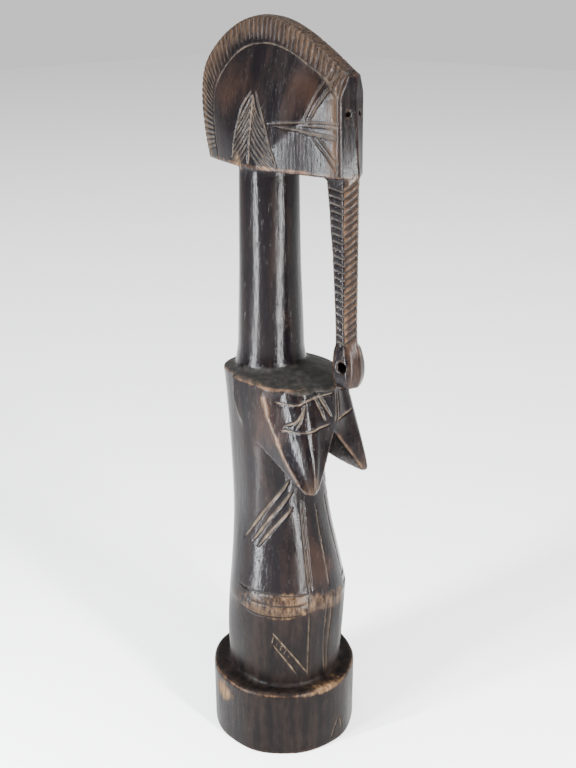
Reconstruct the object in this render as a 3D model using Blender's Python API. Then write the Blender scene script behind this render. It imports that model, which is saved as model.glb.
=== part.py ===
"""Mossi fertility doll carved from one block of wood.

Frame: metres, +Z up, origin at the centre of the base's underside.
The doll faces -Y, and its right-hand side is at -X.
Angles round the torso start at the front (0) and grow towards the doll's right.
"""
import math

import bmesh
import bpy
from mathutils import Vector

MM = 0.001

# Base drum
BASE_RADIUS = 31.0 * MM
BASE_HEIGHT = 30.7 * MM
BASE_RIM_ROUNDING = 2.2 * MM
BASE_FOOT_CHAMFER = 0.7 * MM

# Heights of the figure, each stacked on the one before
TORSO_HEIGHT = 133.6 * MM
NECK_LENGTH = 82.2 * MM
HEAD_HEIGHT = 53.3 * MM

# Torso sections: share of the torso's height, half width, place of the widest
# point, reach to the front and reach to the back
TORSO_LOWER = [
    (0.00, 23.6 * MM, 0.0, 24.5 * MM, 22.6 * MM),
    (0.14, 24.9 * MM, 0.0, 25.7 * MM, 21.8 * MM),
    (0.29, 25.0 * MM, 0.0, 27.1 * MM, 19.6 * MM),
]
TORSO_UPPER = [
    (0.29, 25.0 * MM, 0.0, 27.1 * MM, 19.6 * MM),
    (0.40, 21.9 * MM, 0.0, 24.0 * MM, 20.5 * MM),
    (0.53, 18.9 * MM, 0.0, 19.7 * MM, 21.8 * MM),
    (0.65, 18.3 * MM, 0.0, 16.4 * MM, 22.3 * MM),
    (0.81, 18.6 * MM, 0.0, 15.5 * MM, 23.4 * MM),
    (0.93, 19.2 * MM, -3.0 * MM, 18.0 * MM, 25.3 * MM),
    (1.00, 20.0 * MM, -8.0 * MM, 22.0 * MM, 27.3 * MM),
]
TORSO_FULLNESS = 2.15
SHOULDER_RISE = 5.0 * MM
SHOULDER_DOME_RADIUS = 73.5 * MM

# Chest and breasts, in shares of the chest unit: drop below the shoulder rim,
# then x and y of the flat flank's start, the outer arris, the front ridge and
# the inner arris, and how far forward the underside meets the torso
CHEST_STATIONS = [
    (-0.26, (0.620, 0.30), (0.640, -0.20), (0.445, -0.660), (0.03, -0.840), 0.20),
    (0.00, (0.620, 0.30), (0.650, -0.25), (0.455, -0.700), (0.03, -0.870), 0.20),
    (0.35, (0.610, 0.28), (0.640, -0.35), (0.465, -0.810), (0.03, -0.920), 0.10),
    (0.60, (0.600, 0.12), (0.630, -0.46), (0.475, -0.890), (0.05, -0.920), -0.10),
    (0.85, (0.600, -0.24), (0.620, -0.61), (0.490, -0.965), (0.20, -0.970), -0.35),
    (1.05, (0.600, -0.60), (0.610, -0.76), (0.505, -1.015), (0.34, -1.010), -0.40),
    (1.19, (0.590, -0.84), (0.600, -0.90), (0.520, -1.035), (0.44, -1.030), -0.46),
    (1.26, (0.565, -0.93), (0.575, -0.95), (0.525, -1.025), (0.47, -1.020), -0.90),
]
CLEFT_TOP_DROP = 0.58
CLEFT_HALF_WIDTH = 0.452
CHEST_UNIT = 31.0 * MM
RIDGE_ROUNDING = 0.35

# Neck
NECK_RADIUS_FOOT = 13.4 * MM
NECK_RADIUS_MIDDLE = 12.2 * MM
NECK_RADIUS_TOP = 11.5 * MM
NECK_SETBACK = 6.2 * MM
NECK_FLARE = 1.6 * MM
NECK_FLARE_HEIGHT = 4.0 * MM

# Head seen from the side, as shares of the head's height: back, up over the
# crest and down to the point where the crest meets the face
CREST_OUTLINE = [
    (0.663, 0.000), (0.714, 0.230), (0.727, 0.480), (0.670, 0.685), (0.480, 0.873),
    (0.250, 0.985), (0.020, 0.998), (-0.200, 0.930), (-0.430, 0.805), (-0.657, 0.655),
]
FACE_TOP_OUTLINE = [(-0.655, 0.600), (-0.642, 0.510)]
FACE_FOOT = (-0.648, 0.000)
HEAD_CENTRE = 0.058
HEAD_HALF_THICKNESS = 12.7 * MM
CREST_HALF_THICKNESS = 3.6 * MM
FACE_HALF_WIDTH = 6.5 * MM
HEAD_BELLY_POWER = 1.35
FACE_EDGE_POWER = 3.0
CREST_CROWN = 0.5 * MM
FACE_RIDGE_TOP = 1.2 * MM
FACE_RIDGE_FOOT = 3.7 * MM

# Eyes
EYE_RADIUS = 0.95 * MM
EYE_DEPTH = 3.5 * MM
EYE_OFFSET = 3.1 * MM
EYE_HEIGHT_SHARE = 0.415

# Plait that hangs from the chin to the knob, clear of the shoulders: share of its
# length below the head's underside, half width, rear face, side corner and front ridge
PLAIT_CLEARANCE = 3.0 * MM
PLAIT_LENGTH = NECK_LENGTH - PLAIT_CLEARANCE
PLAIT_STATIONS = [
    (-0.045, 5.0 * MM, -23.0 * MM, -35.6 * MM, -37.6 * MM),
    (0.000, 4.7 * MM, -24.2 * MM, -35.9 * MM, -37.8 * MM),
    (0.020, 4.5 * MM, -26.2 * MM, -36.0 * MM, -37.9 * MM),
    (0.100, 4.4 * MM, -27.3 * MM, -36.0 * MM, -38.0 * MM),
    (0.230, 4.4 * MM, -28.4 * MM, -36.1 * MM, -38.1 * MM),
    (0.430, 4.2 * MM, -29.8 * MM, -36.3 * MM, -38.3 * MM),
    (0.780, 4.0 * MM, -31.2 * MM, -36.9 * MM, -38.7 * MM),
    (0.815, 4.8 * MM, -30.9 * MM, -38.2 * MM, -39.6 * MM),
    (0.890, 5.3 * MM, -30.8 * MM, -39.5 * MM, -40.6 * MM),
    (0.950, 5.2 * MM, -30.9 * MM, -39.4 * MM, -40.5 * MM),
    (1.000, 4.4 * MM, -31.3 * MM, -38.4 * MM, -39.4 * MM),
]
PLAIT_CORNER_ROUNDING = 0.28
KNOB_HOLE_RADIUS = 2.0 * MM
KNOB_HOLE_SETBACK = -35.4 * MM
KNOB_HOLE_SHARE = 0.890

# Carved lines
LINE_WIDTH = 1.1 * MM
LINE_DEPTH = 0.65 * MM
BROAD_LINE_WIDTH = 1.9 * MM
LINE_LIFT = 0.8 * MM
CREST_BAND_BACK = 0.71
CREST_BAND_FRONT = 0.90
CREST_HATCH_COUNT = 46
CREST_HATCH_FIRST = 0.025
CREST_HATCH_LAST = 0.970
CREST_HATCH_LEAN = 0.05
CREST_BACK_END = 0.35
CREST_FRONT_START = 0.45
PLAIT_CHEVRON_COUNT = 22
PLAIT_CHEVRON_FIRST = 0.012
PLAIT_CHEVRON_LAST = 0.765
PLAIT_CHEVRON_RISE = 4.2 * MM
PLAIT_SIDE_FALL = 1.5 * MM

# Leaf on the cheek, as shares of the head's height: how far down, then how far back
LEAF_RIB = [(0.0, 0.090), (0.20, 0.106), (0.58, 0.097), (1.0, 0.091)]
LEAF_BACK = [(0.0, 0.092), (0.27, 0.200), (0.60, 0.249), (1.0, 0.308)]
LEAF_FRONT = [(0.0, 0.086), (0.50, -0.047), (1.0, -0.156)]
LEAF_TOP_Z = 0.545
LEAF_FOOT_Z = 0.010
LEAF_CHEVRON_FALL = 0.42
LEAF_CHEVRONS_RIGHT = 7
LEAF_CHEVRONS_LEFT = 5

# Scars on the cheek, as shares of the head's height; lines of one set don't cross
CHEEK_LINES_FIRST = [
    [(-0.372, 0.348), (-0.452, 0.508), (-0.541, 0.695)],
    [(-0.053, 0.314), (-0.378, 0.348), (-0.632, 0.361)],
    [(-0.407, 0.289), (-0.548, 0.151), (-0.627, 0.045)],
]
CHEEK_LINES_SECOND = [
    [(-0.408, 0.350), (-0.506, 0.504), (-0.595, 0.675)],
    [(-0.109, 0.305), (-0.367, 0.292), (-0.632, 0.272)],
]
CHEEK_LINES_THIRD = [
    [(-0.447, 0.300), (-0.562, 0.188), (-0.630, 0.090)],
    [(-0.480, 0.640), (-0.555, 0.590), (-0.628, 0.515)],
]

# Lines round the torso: angle in degrees and share of the torso's height
FLANK_LINES = [((36.0, 0.690), (67.0, 0.607), (98.0, 0.492)), ((32.0, 0.662), (59.0, 0.587), (86.0, 0.488)),
               ((34.0, 0.608), (56.0, 0.549), (78.0, 0.474))]
HIP_HEIGHTS = [0.333, 0.302, 0.264]
HIP_REACH = (27.0, 97.0)
LOWER_LINES = [((55.0, 0.195), (41.0, 0.131), (25.0, 0.048)), ((56.0, 0.156), (45.0, 0.104), (35.0, 0.048))]
UPRIGHT_ANGLES = [-23, -1, 19, 23]
UPRIGHT_LOWER = (0.010, 0.285)
UPRIGHT_UPPER = (0.350, 0.620)

# Scars on the chest: drop below the shoulder rim and share across the breast's front
CHEST_LINES = [((0.15, 0.55), (0.11, 0.80), (0.06, 0.95)), ((0.50, 0.48), (0.47, 0.72), (0.45, 0.93))]

# Facets
ROUND_SEGMENTS = 32
CHEST_FACETS = [0.0, 0.4, 0.5, 0.6, 0.8, 1.0]
CHEST_DROPS = [-0.26, 0.0, 0.25, 0.5, 0.7, 0.88, 1.04, 1.18, 1.26]
TORSO_RING_SHARES = [0.0, 0.14, 0.22, 0.27, 0.29, 0.31, 0.35, 0.41, 0.48, 0.56, 0.65, 0.75, 0.85, 0.93, 1.0]
RIM_STEPS = 4
FACE_STEPS = 4
DOME_STEPS = 8
CREST_STEPS = 3
ROD_SEGMENTS = 12
SINK = 3.0 * MM

SHOULDER_Z = BASE_HEIGHT + TORSO_HEIGHT
HEAD_Z = SHOULDER_Z + NECK_LENGTH


def clear_scene():
    for thing in list(bpy.data.objects):
        bpy.data.objects.remove(thing, do_unlink=True)


def wood_material():
    material = bpy.data.materials.new("patinated_wood")
    material.use_nodes = True
    shader = material.node_tree.nodes["Principled BSDF"]
    shader.inputs["Base Color"].default_value = (0.035, 0.022, 0.017, 1.0)
    shader.inputs["Roughness"].default_value = 0.38
    shader.inputs["Metallic"].default_value = 0.0
    return material


def new_object(name, bm):
    bmesh.ops.triangulate(bm, faces=bm.faces[:])
    bmesh.ops.recalc_face_normals(bm, faces=bm.faces[:])
    mesh = bpy.data.meshes.new(name)
    bm.to_mesh(mesh)
    bm.free()
    thing = bpy.data.objects.new(name, mesh)
    bpy.context.scene.collection.objects.link(thing)
    return thing


def hide_helper(thing):
    thing.hide_render = True
    thing.display_type = 'WIRE'


def loft(name, rings):
    """Closed solid through rings of points that all have the same count."""
    bm = bmesh.new()
    rows = [[bm.verts.new(point) for point in ring] for ring in rings]
    count = len(rows[0])
    for lower, upper in zip(rows, rows[1:]):
        for i in range(count):
            k = (i + 1) % count
            bm.faces.new((lower[i], lower[k], upper[k], upper[i]))
    bm.faces.new(rows[0][::-1])
    bm.faces.new(rows[-1])
    return new_object(name, bm)


def circle(radius, z, centre_y=0.0):
    ring = []
    for i in range(ROUND_SEGMENTS):
        angle = 2.0 * math.pi * i / ROUND_SEGMENTS
        ring.append(Vector((radius * math.cos(angle), centre_y + radius * math.sin(angle), z)))
    return ring


def smooth_value(stations, column, share):
    """Cubic interpolation of one column of a station list."""
    last = len(stations) - 1
    k = 0
    while k < last - 1 and share > stations[k + 1][0]:
        k += 1
    x0, x1 = stations[k][0], stations[k + 1][0]
    y0, y1 = stations[k][column], stations[k + 1][column]

    def slope(i):
        low, high = max(i - 1, 0), min(i + 1, last)
        run = stations[high][0] - stations[low][0]
        return (stations[high][column] - stations[low][column]) / run

    span = x1 - x0
    u = (share - x0) / span
    rise = 3.0 * u * u - 2.0 * u * u * u
    curl = u * (1.0 - u) * span
    return y0 + (y1 - y0) * rise + curl * ((1.0 - u) * slope(k) - u * slope(k + 1))


def smooth_curve(points, steps):
    """Points on a smooth curve through a few given ones."""
    stations = [(float(i), p[0], p[1]) for i, p in enumerate(points)]
    last = len(points) - 1
    curve = []
    for i in range(last * steps + 1):
        share = i / steps
        curve.append((smooth_value(stations, 1, share), smooth_value(stations, 2, share)))
    return curve


def power(value, fullness):
    return math.copysign(abs(value) ** (2.0 / fullness), value)


def torso_point(share, angle):
    stations = TORSO_LOWER if share < TORSO_LOWER[-1][0] else TORSO_UPPER
    half_width, widest, front, back = (smooth_value(stations, c, share) for c in (1, 2, 3, 4))
    reach = front + widest if math.cos(angle) > 0.0 else back - widest
    x = -half_width * power(math.sin(angle), TORSO_FULLNESS)
    y = widest - reach * power(math.cos(angle), TORSO_FULLNESS)
    return Vector((x, y, BASE_HEIGHT + share * TORSO_HEIGHT))


def make_base():
    r, top, rounding = BASE_RADIUS, BASE_HEIGHT, BASE_RIM_ROUNDING
    rings = [circle(r - BASE_FOOT_CHAMFER, 0.0), circle(r, BASE_FOOT_CHAMFER)]
    for i in range(RIM_STEPS + 1):
        angle = 0.5 * math.pi * i / RIM_STEPS
        inset = rounding * (1.0 - math.cos(angle))
        rings.append(circle(r - inset, top - rounding + rounding * math.sin(angle)))
    return loft("base_drum", rings)


def make_torso():
    """The torso runs past the shoulder, where the shoulder cut trims it."""
    above = 1.0 + 2.0 * SHOULDER_RISE / TORSO_HEIGHT
    shares = [-SINK / TORSO_HEIGHT] + TORSO_RING_SHARES + [above]
    rings = []
    for share in shares:
        held = min(max(share, 0.0), 1.0)
        ring = []
        for i in range(ROUND_SEGMENTS):
            point = torso_point(held, 2.0 * math.pi * i / ROUND_SEGMENTS)
            point.z = BASE_HEIGHT + share * TORSO_HEIGHT
            ring.append(point)
        rings.append(ring)
    return loft("torso", rings)


def chest_value(drop, column, part):
    stations = [(station[0], station[column][part]) for station in CHEST_STATIONS]
    return smooth_value(stations, 1, drop) * CHEST_UNIT


def chest_front(drop, share, side):
    """Front of a breast, from its outer arris (0) over the ridge to the inner arris (1)."""
    point = []
    for part in (0, 1):
        arris, ridge, inner = (chest_value(drop, column, part) for column in (2, 3, 4))
        before = ridge + (arris - ridge) * RIDGE_ROUNDING
        after = ridge + (inner - ridge) * RIDGE_ROUNDING
        if share < 0.4:
            point.append(arris + (before - arris) * share / 0.4)
        elif share > 0.6:
            point.append(after + (inner - after) * (share - 0.6) / 0.4)
        else:
            bend = (share - 0.4) / 0.2
            pull = 2.0 * ridge - 0.5 * (before + after)
            rest = 1.0 - bend
            point.append(rest * rest * before + 2.0 * bend * rest * pull + bend * bend * after)
    return Vector((-side * point[0], point[1], SHOULDER_Z - drop * CHEST_UNIT))


def make_chest():
    """Block of the chest from flank to flank, down to the tips of the breasts."""
    rings = []
    for drop in reversed(CHEST_DROPS):
        z = SHOULDER_Z - drop * CHEST_UNIT
        flank = [chest_value(drop, 1, part) for part in (0, 1)]
        back = smooth_value(CHEST_STATIONS, 5, drop) * CHEST_UNIT
        ring = [Vector((-flank[0], flank[1], z))]
        ring += [chest_front(drop, share, 1) for share in CHEST_FACETS]
        ring += [chest_front(drop, share, -1) for share in reversed(CHEST_FACETS)]
        ring.append(Vector((flank[0], flank[1], z)))
        ring += [Vector((x * flank[0], back, z)) for x in (0.5, -0.5)]
        rings.append(ring)
    return loft("chest", rings)


def make_cleft():
    """Wedge that parts the breasts below the breastbone."""
    foot = CHEST_STATIONS[-1][0]
    top_z = SHOULDER_Z - CLEFT_TOP_DROP * CHEST_UNIT
    slope = CLEFT_HALF_WIDTH / (foot - CLEFT_TOP_DROP)
    low = foot + 0.2
    half = slope * (low - CLEFT_TOP_DROP) * CHEST_UNIT
    low_z = SHOULDER_Z - low * CHEST_UNIT
    rings = []
    for y in (-1.6 * CHEST_UNIT, 0.6 * CHEST_UNIT):
        rings.append([Vector((-half, y, low_z)), Vector((half, y, low_z)), Vector((0.0, y, top_z))])
    return loft("cleft", rings)


def make_shoulder_cut():
    """Everything above the gently domed top of the shoulders."""
    reach = 1.6 * BASE_RADIUS
    top = SHOULDER_Z + 5.0 * SHOULDER_RISE
    rings = []
    for i in range(1, DOME_STEPS + 1):
        radius = reach * i / DOME_STEPS
        z = SHOULDER_Z + SHOULDER_RISE - 0.5 * radius * radius / SHOULDER_DOME_RADIUS
        rings.append(circle(radius, z))
    rings.append(circle(reach, top))
    rings.append(circle(0.1 * reach, top))
    return loft("shoulder_cut", rings)


def make_neck():
    foot, top = SHOULDER_Z - SINK, HEAD_Z + SINK
    middle = 0.5 * (foot + top)
    rings = [
        circle(NECK_RADIUS_FOOT + NECK_FLARE, foot, NECK_SETBACK),
        circle(NECK_RADIUS_FOOT + 0.5 * NECK_FLARE, SHOULDER_Z + SHOULDER_RISE, NECK_SETBACK),
        circle(NECK_RADIUS_FOOT, SHOULDER_Z + SHOULDER_RISE + NECK_FLARE_HEIGHT, NECK_SETBACK),
        circle(NECK_RADIUS_MIDDLE, middle, NECK_SETBACK),
        circle(NECK_RADIUS_TOP, top, NECK_SETBACK),
    ]
    return loft("neck", rings)


def head_boundary():
    """Edge of the head's side, back to front: y, z, half thickness, ridge offset."""
    edge = []
    for y, z in smooth_curve(CREST_OUTLINE, CREST_STEPS):
        edge.append((y, z, CREST_HALF_THICKNESS, CREST_CROWN))
    face = list(FACE_TOP_OUTLINE)
    corner_y, corner_z = FACE_TOP_OUTLINE[-1]
    for k in range(1, FACE_STEPS + 1):
        share = k / FACE_STEPS
        y, z = (high + (low - high) * share for high, low in zip((corner_y, corner_z), FACE_FOOT))
        face.append((y, z))
    start_z = CREST_OUTLINE[-1][1]
    for y, z in face:
        down = (start_z - z) / start_z
        widening = min(1.0, (start_z - z) / (start_z - corner_z))
        half = CREST_HALF_THICKNESS + (FACE_HALF_WIDTH - CREST_HALF_THICKNESS) * math.sqrt(widening)
        edge.append((y, z, half, FACE_RIDGE_TOP + (FACE_RIDGE_FOOT - FACE_RIDGE_TOP) * down))
    return [(y * HEAD_HEIGHT, z * HEAD_HEIGHT, half, ridge) for y, z, half, ridge in edge]


CREST_ROWS = CREST_STEPS * (len(CREST_OUTLINE) - 1)
BOUNDARY = head_boundary()
CENTRE_Y = HEAD_CENTRE * HEAD_HEIGHT


def head_half_thickness(edge_half, share):
    """Half thickness from the head's middle (0) out to an edge of given half thickness (1)."""
    belly = (HEAD_HALF_THICKNESS - CREST_HALF_THICKNESS) * (1.0 - share ** HEAD_BELLY_POWER)
    return CREST_HALF_THICKNESS + belly + (edge_half - CREST_HALF_THICKNESS) * share ** FACE_EDGE_POWER


def head_side(row, share, side, sunk=0.0):
    """Point of the head's side on the ray to one boundary row."""
    y, z, half, _ = BOUNDARY[row]
    x = head_half_thickness(half, share) - sunk
    return Vector((-side * x, CENTRE_Y + (y - CENTRE_Y) * share, HEAD_Z + z * share))


def head_surface(y_share, z_share, side):
    """Point of the head's side at a place in shares of the head's height."""
    y, z = y_share * HEAD_HEIGHT, z_share * HEAD_HEIGHT
    angle = math.atan2(z, y - CENTRE_Y)
    angles = [math.atan2(b[1], b[0] - CENTRE_Y) for b in BOUNDARY]
    row = 0
    while row < len(BOUNDARY) - 2 and angles[row + 1] < angle:
        row += 1
    blend = (angle - angles[row]) / (angles[row + 1] - angles[row])
    near, far = BOUNDARY[row], BOUNDARY[row + 1]
    edge_y, edge_z, half = (near[i] + (far[i] - near[i]) * blend for i in range(3))
    share = math.hypot(z, y - CENTRE_Y) / math.hypot(edge_z, edge_y - CENTRE_Y)
    return Vector((-side * head_half_thickness(half, min(share, 1.0)), y, HEAD_Z + z))


def ridge_point(row):
    y, z, _, ridge = BOUNDARY[row]
    out = Vector((0.0, y - CENTRE_Y, z)).normalized()
    if row >= CREST_ROWS + 1:
        out = Vector((0.0, -1.0, 0.0))
    return Vector((0.0, y, HEAD_Z + z)) + out * ridge


def band_share(position):
    """Radial share of the line inside the crest band, back (0) to front (1)."""
    return CREST_BAND_BACK + (CREST_BAND_FRONT - CREST_BAND_BACK) * position


def make_head():
    bm = bmesh.new()
    rows = len(BOUNDARY)
    arc_half = 0.5 * LINE_WIDTH / HEAD_HEIGHT
    sides = []
    for side in (1, -1):
        pole = bm.verts.new(head_side(0, 0.0, side))
        grid = []
        for r in range(rows):
            arc = band_share(min(r / CREST_ROWS, 1.0))
            depth = LINE_DEPTH if r < CREST_ROWS else 0.0
            places = [(0.4, 0.0), (arc - arc_half, 0.0), (arc, depth), (arc + arc_half, 0.0), (1.0, 0.0)]
            grid.append([pole] + [bm.verts.new(head_side(r, share, side, sunk)) for share, sunk in places])
        for near, far in zip(grid, grid[1:]):
            bm.faces.new((pole, near[1], far[1]))
            for i in range(1, len(near) - 1):
                bm.faces.new((near[i], near[i + 1], far[i + 1], far[i]))
        sides.append(grid)
    right, left = sides
    ridge = [bm.verts.new(ridge_point(r)) for r in range(rows)]
    ridge[0].co.z = HEAD_Z
    ridge[-1].co.z = HEAD_Z
    for r in range(rows - 1):
        bm.faces.new((right[r][-1], ridge[r], ridge[r + 1], right[r + 1][-1]))
        bm.faces.new((ridge[r], left[r][-1], left[r + 1][-1], ridge[r + 1]))
    under = right[0][:0:-1] + right[-1] + [ridge[-1]] + left[-1][:0:-1] + left[0] + [ridge[0]]
    bm.faces.new(under)
    return new_object("head", bm)


def plait_section(share):
    return [smooth_value(PLAIT_STATIONS, c, share) for c in (1, 2, 3, 4)]


def plait_ring(share, rise, sunk):
    """Section of the plait; its side corners hang lower by rise, its faces are cut in by sunk."""
    half, rear, corner, ridge = plait_section(share)
    z = HEAD_Z - share * PLAIT_LENGTH
    half, corner, ridge = half - sunk, corner + sunk, ridge + sunk
    cut = PLAIT_CORNER_ROUNDING * half
    behind = max(0.0, rise - PLAIT_SIDE_FALL)
    ring = [
        (-half + cut, rear, behind), (half - cut, rear, behind), (half, rear - cut, behind),
        (half, corner + cut, rise), (half - cut, corner, rise), (0.0, ridge, 0.0),
        (-half + cut, corner, rise), (-half, corner + cut, rise), (-half, rear - cut, behind),
    ]
    return [Vector((x, y, z - drop)) for x, y, drop in ring]


def make_plait():
    """Plait whose strands overlap like shingles, ending in the plain knob."""
    rings = [plait_ring(station[0], 0.0, 0.0) for station in PLAIT_STATIONS[:2]]
    pitch = (PLAIT_CHEVRON_LAST - PLAIT_CHEVRON_FIRST) / PLAIT_CHEVRON_COUNT
    for i in range(PLAIT_CHEVRON_COUNT):
        share = PLAIT_CHEVRON_FIRST + pitch * i
        rings.append(plait_ring(share, PLAIT_CHEVRON_RISE, LINE_DEPTH))
        rings.append(plait_ring(share + 0.3 * pitch, PLAIT_CHEVRON_RISE, 0.0))
    rings += [plait_ring(station[0], 0.0, 0.0) for station in PLAIT_STATIONS[-4:]]
    return loft("plait", rings[::-1])


class Carver:
    """Collects V-shaped cutters that follow lines on the surface."""

    def __init__(self):
        self.bm = bmesh.new()

    def line(self, points, normals, width=LINE_WIDTH, depth=LINE_DEPTH, ends="both"):
        """Cut along the points; it runs out to a point at both ends, or only inside a rim."""
        rows = []
        last = len(points) - 1
        half = 0.5 * width * (1.0 + LINE_LIFT / depth)
        for i, (point, normal) in enumerate(zip(points, normals)):
            if i == last or (i == 0 and ends == "both"):
                rows.append([self.bm.verts.new(point + normal * 0.1 * LINE_LIFT)])
                continue
            along = (points[i + 1] - points[max(i - 1, 0)]).normalized()
            across = along.cross(normal).normalized()
            top = point + normal * LINE_LIFT
            row = (top - across * half, top + across * half, point - normal * depth)
            rows.append([self.bm.verts.new(place) for place in row])
        for near, far in zip(rows, rows[1:]):
            for i in range(3):
                k = (i + 1) % 3
                corners = [near[i % len(near)], near[k % len(near)], far[k % len(far)], far[i % len(far)]]
                self.bm.faces.new(list(dict.fromkeys(corners)))
        if len(rows[0]) == 3:
            self.bm.faces.new(rows[0][::-1])

    def finish(self, name):
        return new_object(name, self.bm)


def surface_normal(surface, a, b, step_a, step_b, outward):
    """Normal of a surface given as a function of two values."""
    along_a = surface(a + step_a, b) - surface(a - step_a, b)
    along_b = surface(a, b + step_b) - surface(a, b - step_b)
    normal = along_a.cross(along_b).normalized()
    return normal if normal.dot(outward) > 0.0 else -normal


def carve_head_line(carver, places, side, **shape):
    def surface(y, z):
        return head_surface(y, z, side)

    outward = Vector((-side, 0.0, 0.0))
    points = [surface(y, z) for y, z in places]
    normals = [surface_normal(surface, y, z, 0.004, 0.004, outward) for y, z in places]
    carver.line(points, normals, **shape)


def band_place(position, share):
    """Place on the head's side at a position along the crest and a radial share."""
    spot = min(max(position, 0.0), 1.0) * CREST_ROWS
    row = min(int(spot), CREST_ROWS - 1)
    blend = spot - row
    y = BOUNDARY[row][0] + (BOUNDARY[row + 1][0] - BOUNDARY[row][0]) * blend
    z = BOUNDARY[row][1] + (BOUNDARY[row + 1][1] - BOUNDARY[row][1]) * blend
    y = CENTRE_Y + (y - CENTRE_Y) * share
    return y / HEAD_HEIGHT, z * share / HEAD_HEIGHT


def carve_crest(carver, side):
    """Short cuts across the crest band, from the rim in to the arc."""
    for i in range(CREST_HATCH_COUNT):
        position = CREST_HATCH_FIRST + (CREST_HATCH_LAST - CREST_HATCH_FIRST) * i / (CREST_HATCH_COUNT - 1)
        lean = max(0.0, 1.0 - position / CREST_BACK_END) + max(0.0, position - CREST_FRONT_START)
        inner = min(position + CREST_HATCH_LEAN * lean, 1.0)
        places = [band_place(position, 1.02), band_place(inner, band_share(inner) + 0.02)]
        carve_head_line(carver, places, side, ends="rim")


def leaf_place(across, down):
    """Place in the leaf: across runs from back edge (-1) over the rib (0) to front (1)."""
    edge = smooth_value(LEAF_FRONT if across > 0.0 else LEAF_BACK, 1, down)
    rib = smooth_value(LEAF_RIB, 1, down)
    return rib + (edge - rib) * abs(across), LEAF_TOP_Z + (LEAF_FOOT_Z - LEAF_TOP_Z) * down


def carve_leaf(edges, ribs, side, chevrons):
    """Leaf of steep chevrons that run out from a rib, some of them cut off by its foot."""
    for across in (-1.0, 1.0):
        places = [leaf_place(across, down) for down in (0.05, 0.35, 0.65, 0.97)]
        carve_head_line(edges, places, side)
        for i in range(chevrons):
            start = 0.12 + 0.68 * i / chevrons
            reach = min(0.84, (0.96 - start) / LEAF_CHEVRON_FALL)
            spots = (0.16, 0.5 * reach + 0.08, reach)
            places = [leaf_place(across * s, start + LEAF_CHEVRON_FALL * s) for s in spots]
            carve_head_line(edges, places, side)
    carve_head_line(ribs, [leaf_place(0.0, down) for down in (0.08, 0.5, 0.96)], side)


def carve_torso_line(carver, places, steps, **shape):
    """Line on the torso through places, each an angle in degrees and a height share."""
    points, normals = [], []
    for degrees, share in smooth_curve(places, steps):
        angle = math.radians(degrees)
        outward = Vector((-math.sin(angle), -math.cos(angle), 0.0))
        points.append(torso_point(share, angle))
        normals.append(surface_normal(torso_point, share, angle, 0.004, 0.02, outward))
    carver.line(points, normals, **shape)


def carve_torso(uprights, crossings):
    for angle in UPRIGHT_ANGLES:
        for low, high in (UPRIGHT_LOWER, UPRIGHT_UPPER):
            carve_torso_line(uprights, [(angle, low), (angle, high)], 3)
    for side in (1, -1):
        for places in FLANK_LINES:
            mirrored = [(side * angle, share) for angle, share in places]
            carve_torso_line(crossings, mirrored, 2, width=BROAD_LINE_WIDTH)
        for height in HIP_HEIGHTS:
            carve_torso_line(crossings, [(side * angle, height) for angle in HIP_REACH], 6)
        for places in LOWER_LINES:
            carve_torso_line(crossings, [(side * angle, share) for angle, share in places], 1)


def carve_chest(carver):
    for side in (1, -1):
        def surface(drop, share):
            return chest_front(drop, share, side)

        outward = Vector((-0.5 * side, -1.0, 0.2))
        for places in CHEST_LINES:
            points, normals = [], []
            for drop, share in smooth_curve(places, 2):
                points.append(surface(drop, share))
                normals.append(surface_normal(surface, drop, share, 0.01, 0.02, outward))
            carver.line(points, normals)


def make_rod(name, radius, start, end):
    direction = (end - start).normalized()
    across = direction.orthogonal().normalized()
    other = direction.cross(across)
    rings = []
    for place in (start, end):
        ring = []
        for i in range(ROD_SEGMENTS):
            angle = 2.0 * math.pi * i / ROD_SEGMENTS
            ring.append(place + (across * math.cos(angle) + other * math.sin(angle)) * radius)
        rings.append(ring)
    return loft(name, rings)


def make_holes():
    holes = []
    hole_z = HEAD_Z - KNOB_HOLE_SHARE * PLAIT_LENGTH
    reach = 2.0 * FACE_HALF_WIDTH
    start = Vector((-reach, KNOB_HOLE_SETBACK, hole_z))
    holes.append(make_rod("knob_hole", KNOB_HOLE_RADIUS, start, Vector((reach, KNOB_HOLE_SETBACK, hole_z))))
    face_y = FACE_FOOT[0] * HEAD_HEIGHT
    eye_z = HEAD_Z + EYE_HEIGHT_SHARE * HEAD_HEIGHT
    for side in (1, -1):
        outside = Vector((-side * EYE_OFFSET, face_y - 2.0 * EYE_DEPTH, eye_z))
        inside = Vector((-side * EYE_OFFSET, face_y + EYE_DEPTH - FACE_RIDGE_TOP, eye_z))
        holes.append(make_rod("eye_hole", EYE_RADIUS, outside, inside))
    return holes


def apply_boolean(body, other, operation, crossing_cutters=False):
    modifier = body.modifiers.new(other.name, 'BOOLEAN')
    modifier.operation = operation
    modifier.solver = 'EXACT'
    modifier.use_self = crossing_cutters
    modifier.object = other
    hide_helper(other)


def make_carvings():
    """Cutters in three sets, so that lines which cross are never in one set."""
    first, second, third = Carver(), Carver(), Carver()
    for side in (1, -1):
        carve_crest(first, side)
        carve_leaf(first, second, side, LEAF_CHEVRONS_RIGHT if side == 1 else LEAF_CHEVRONS_LEFT)
        for carver, lines in ((first, CHEEK_LINES_FIRST), (second, CHEEK_LINES_SECOND),
                              (third, CHEEK_LINES_THIRD)):
            for places in lines:
                carve_head_line(carver, places, side)
    carve_torso(first, second)
    carve_chest(second)
    return [first.finish("lines_first"), second.finish("lines_second"), third.finish("lines_third")]


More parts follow.
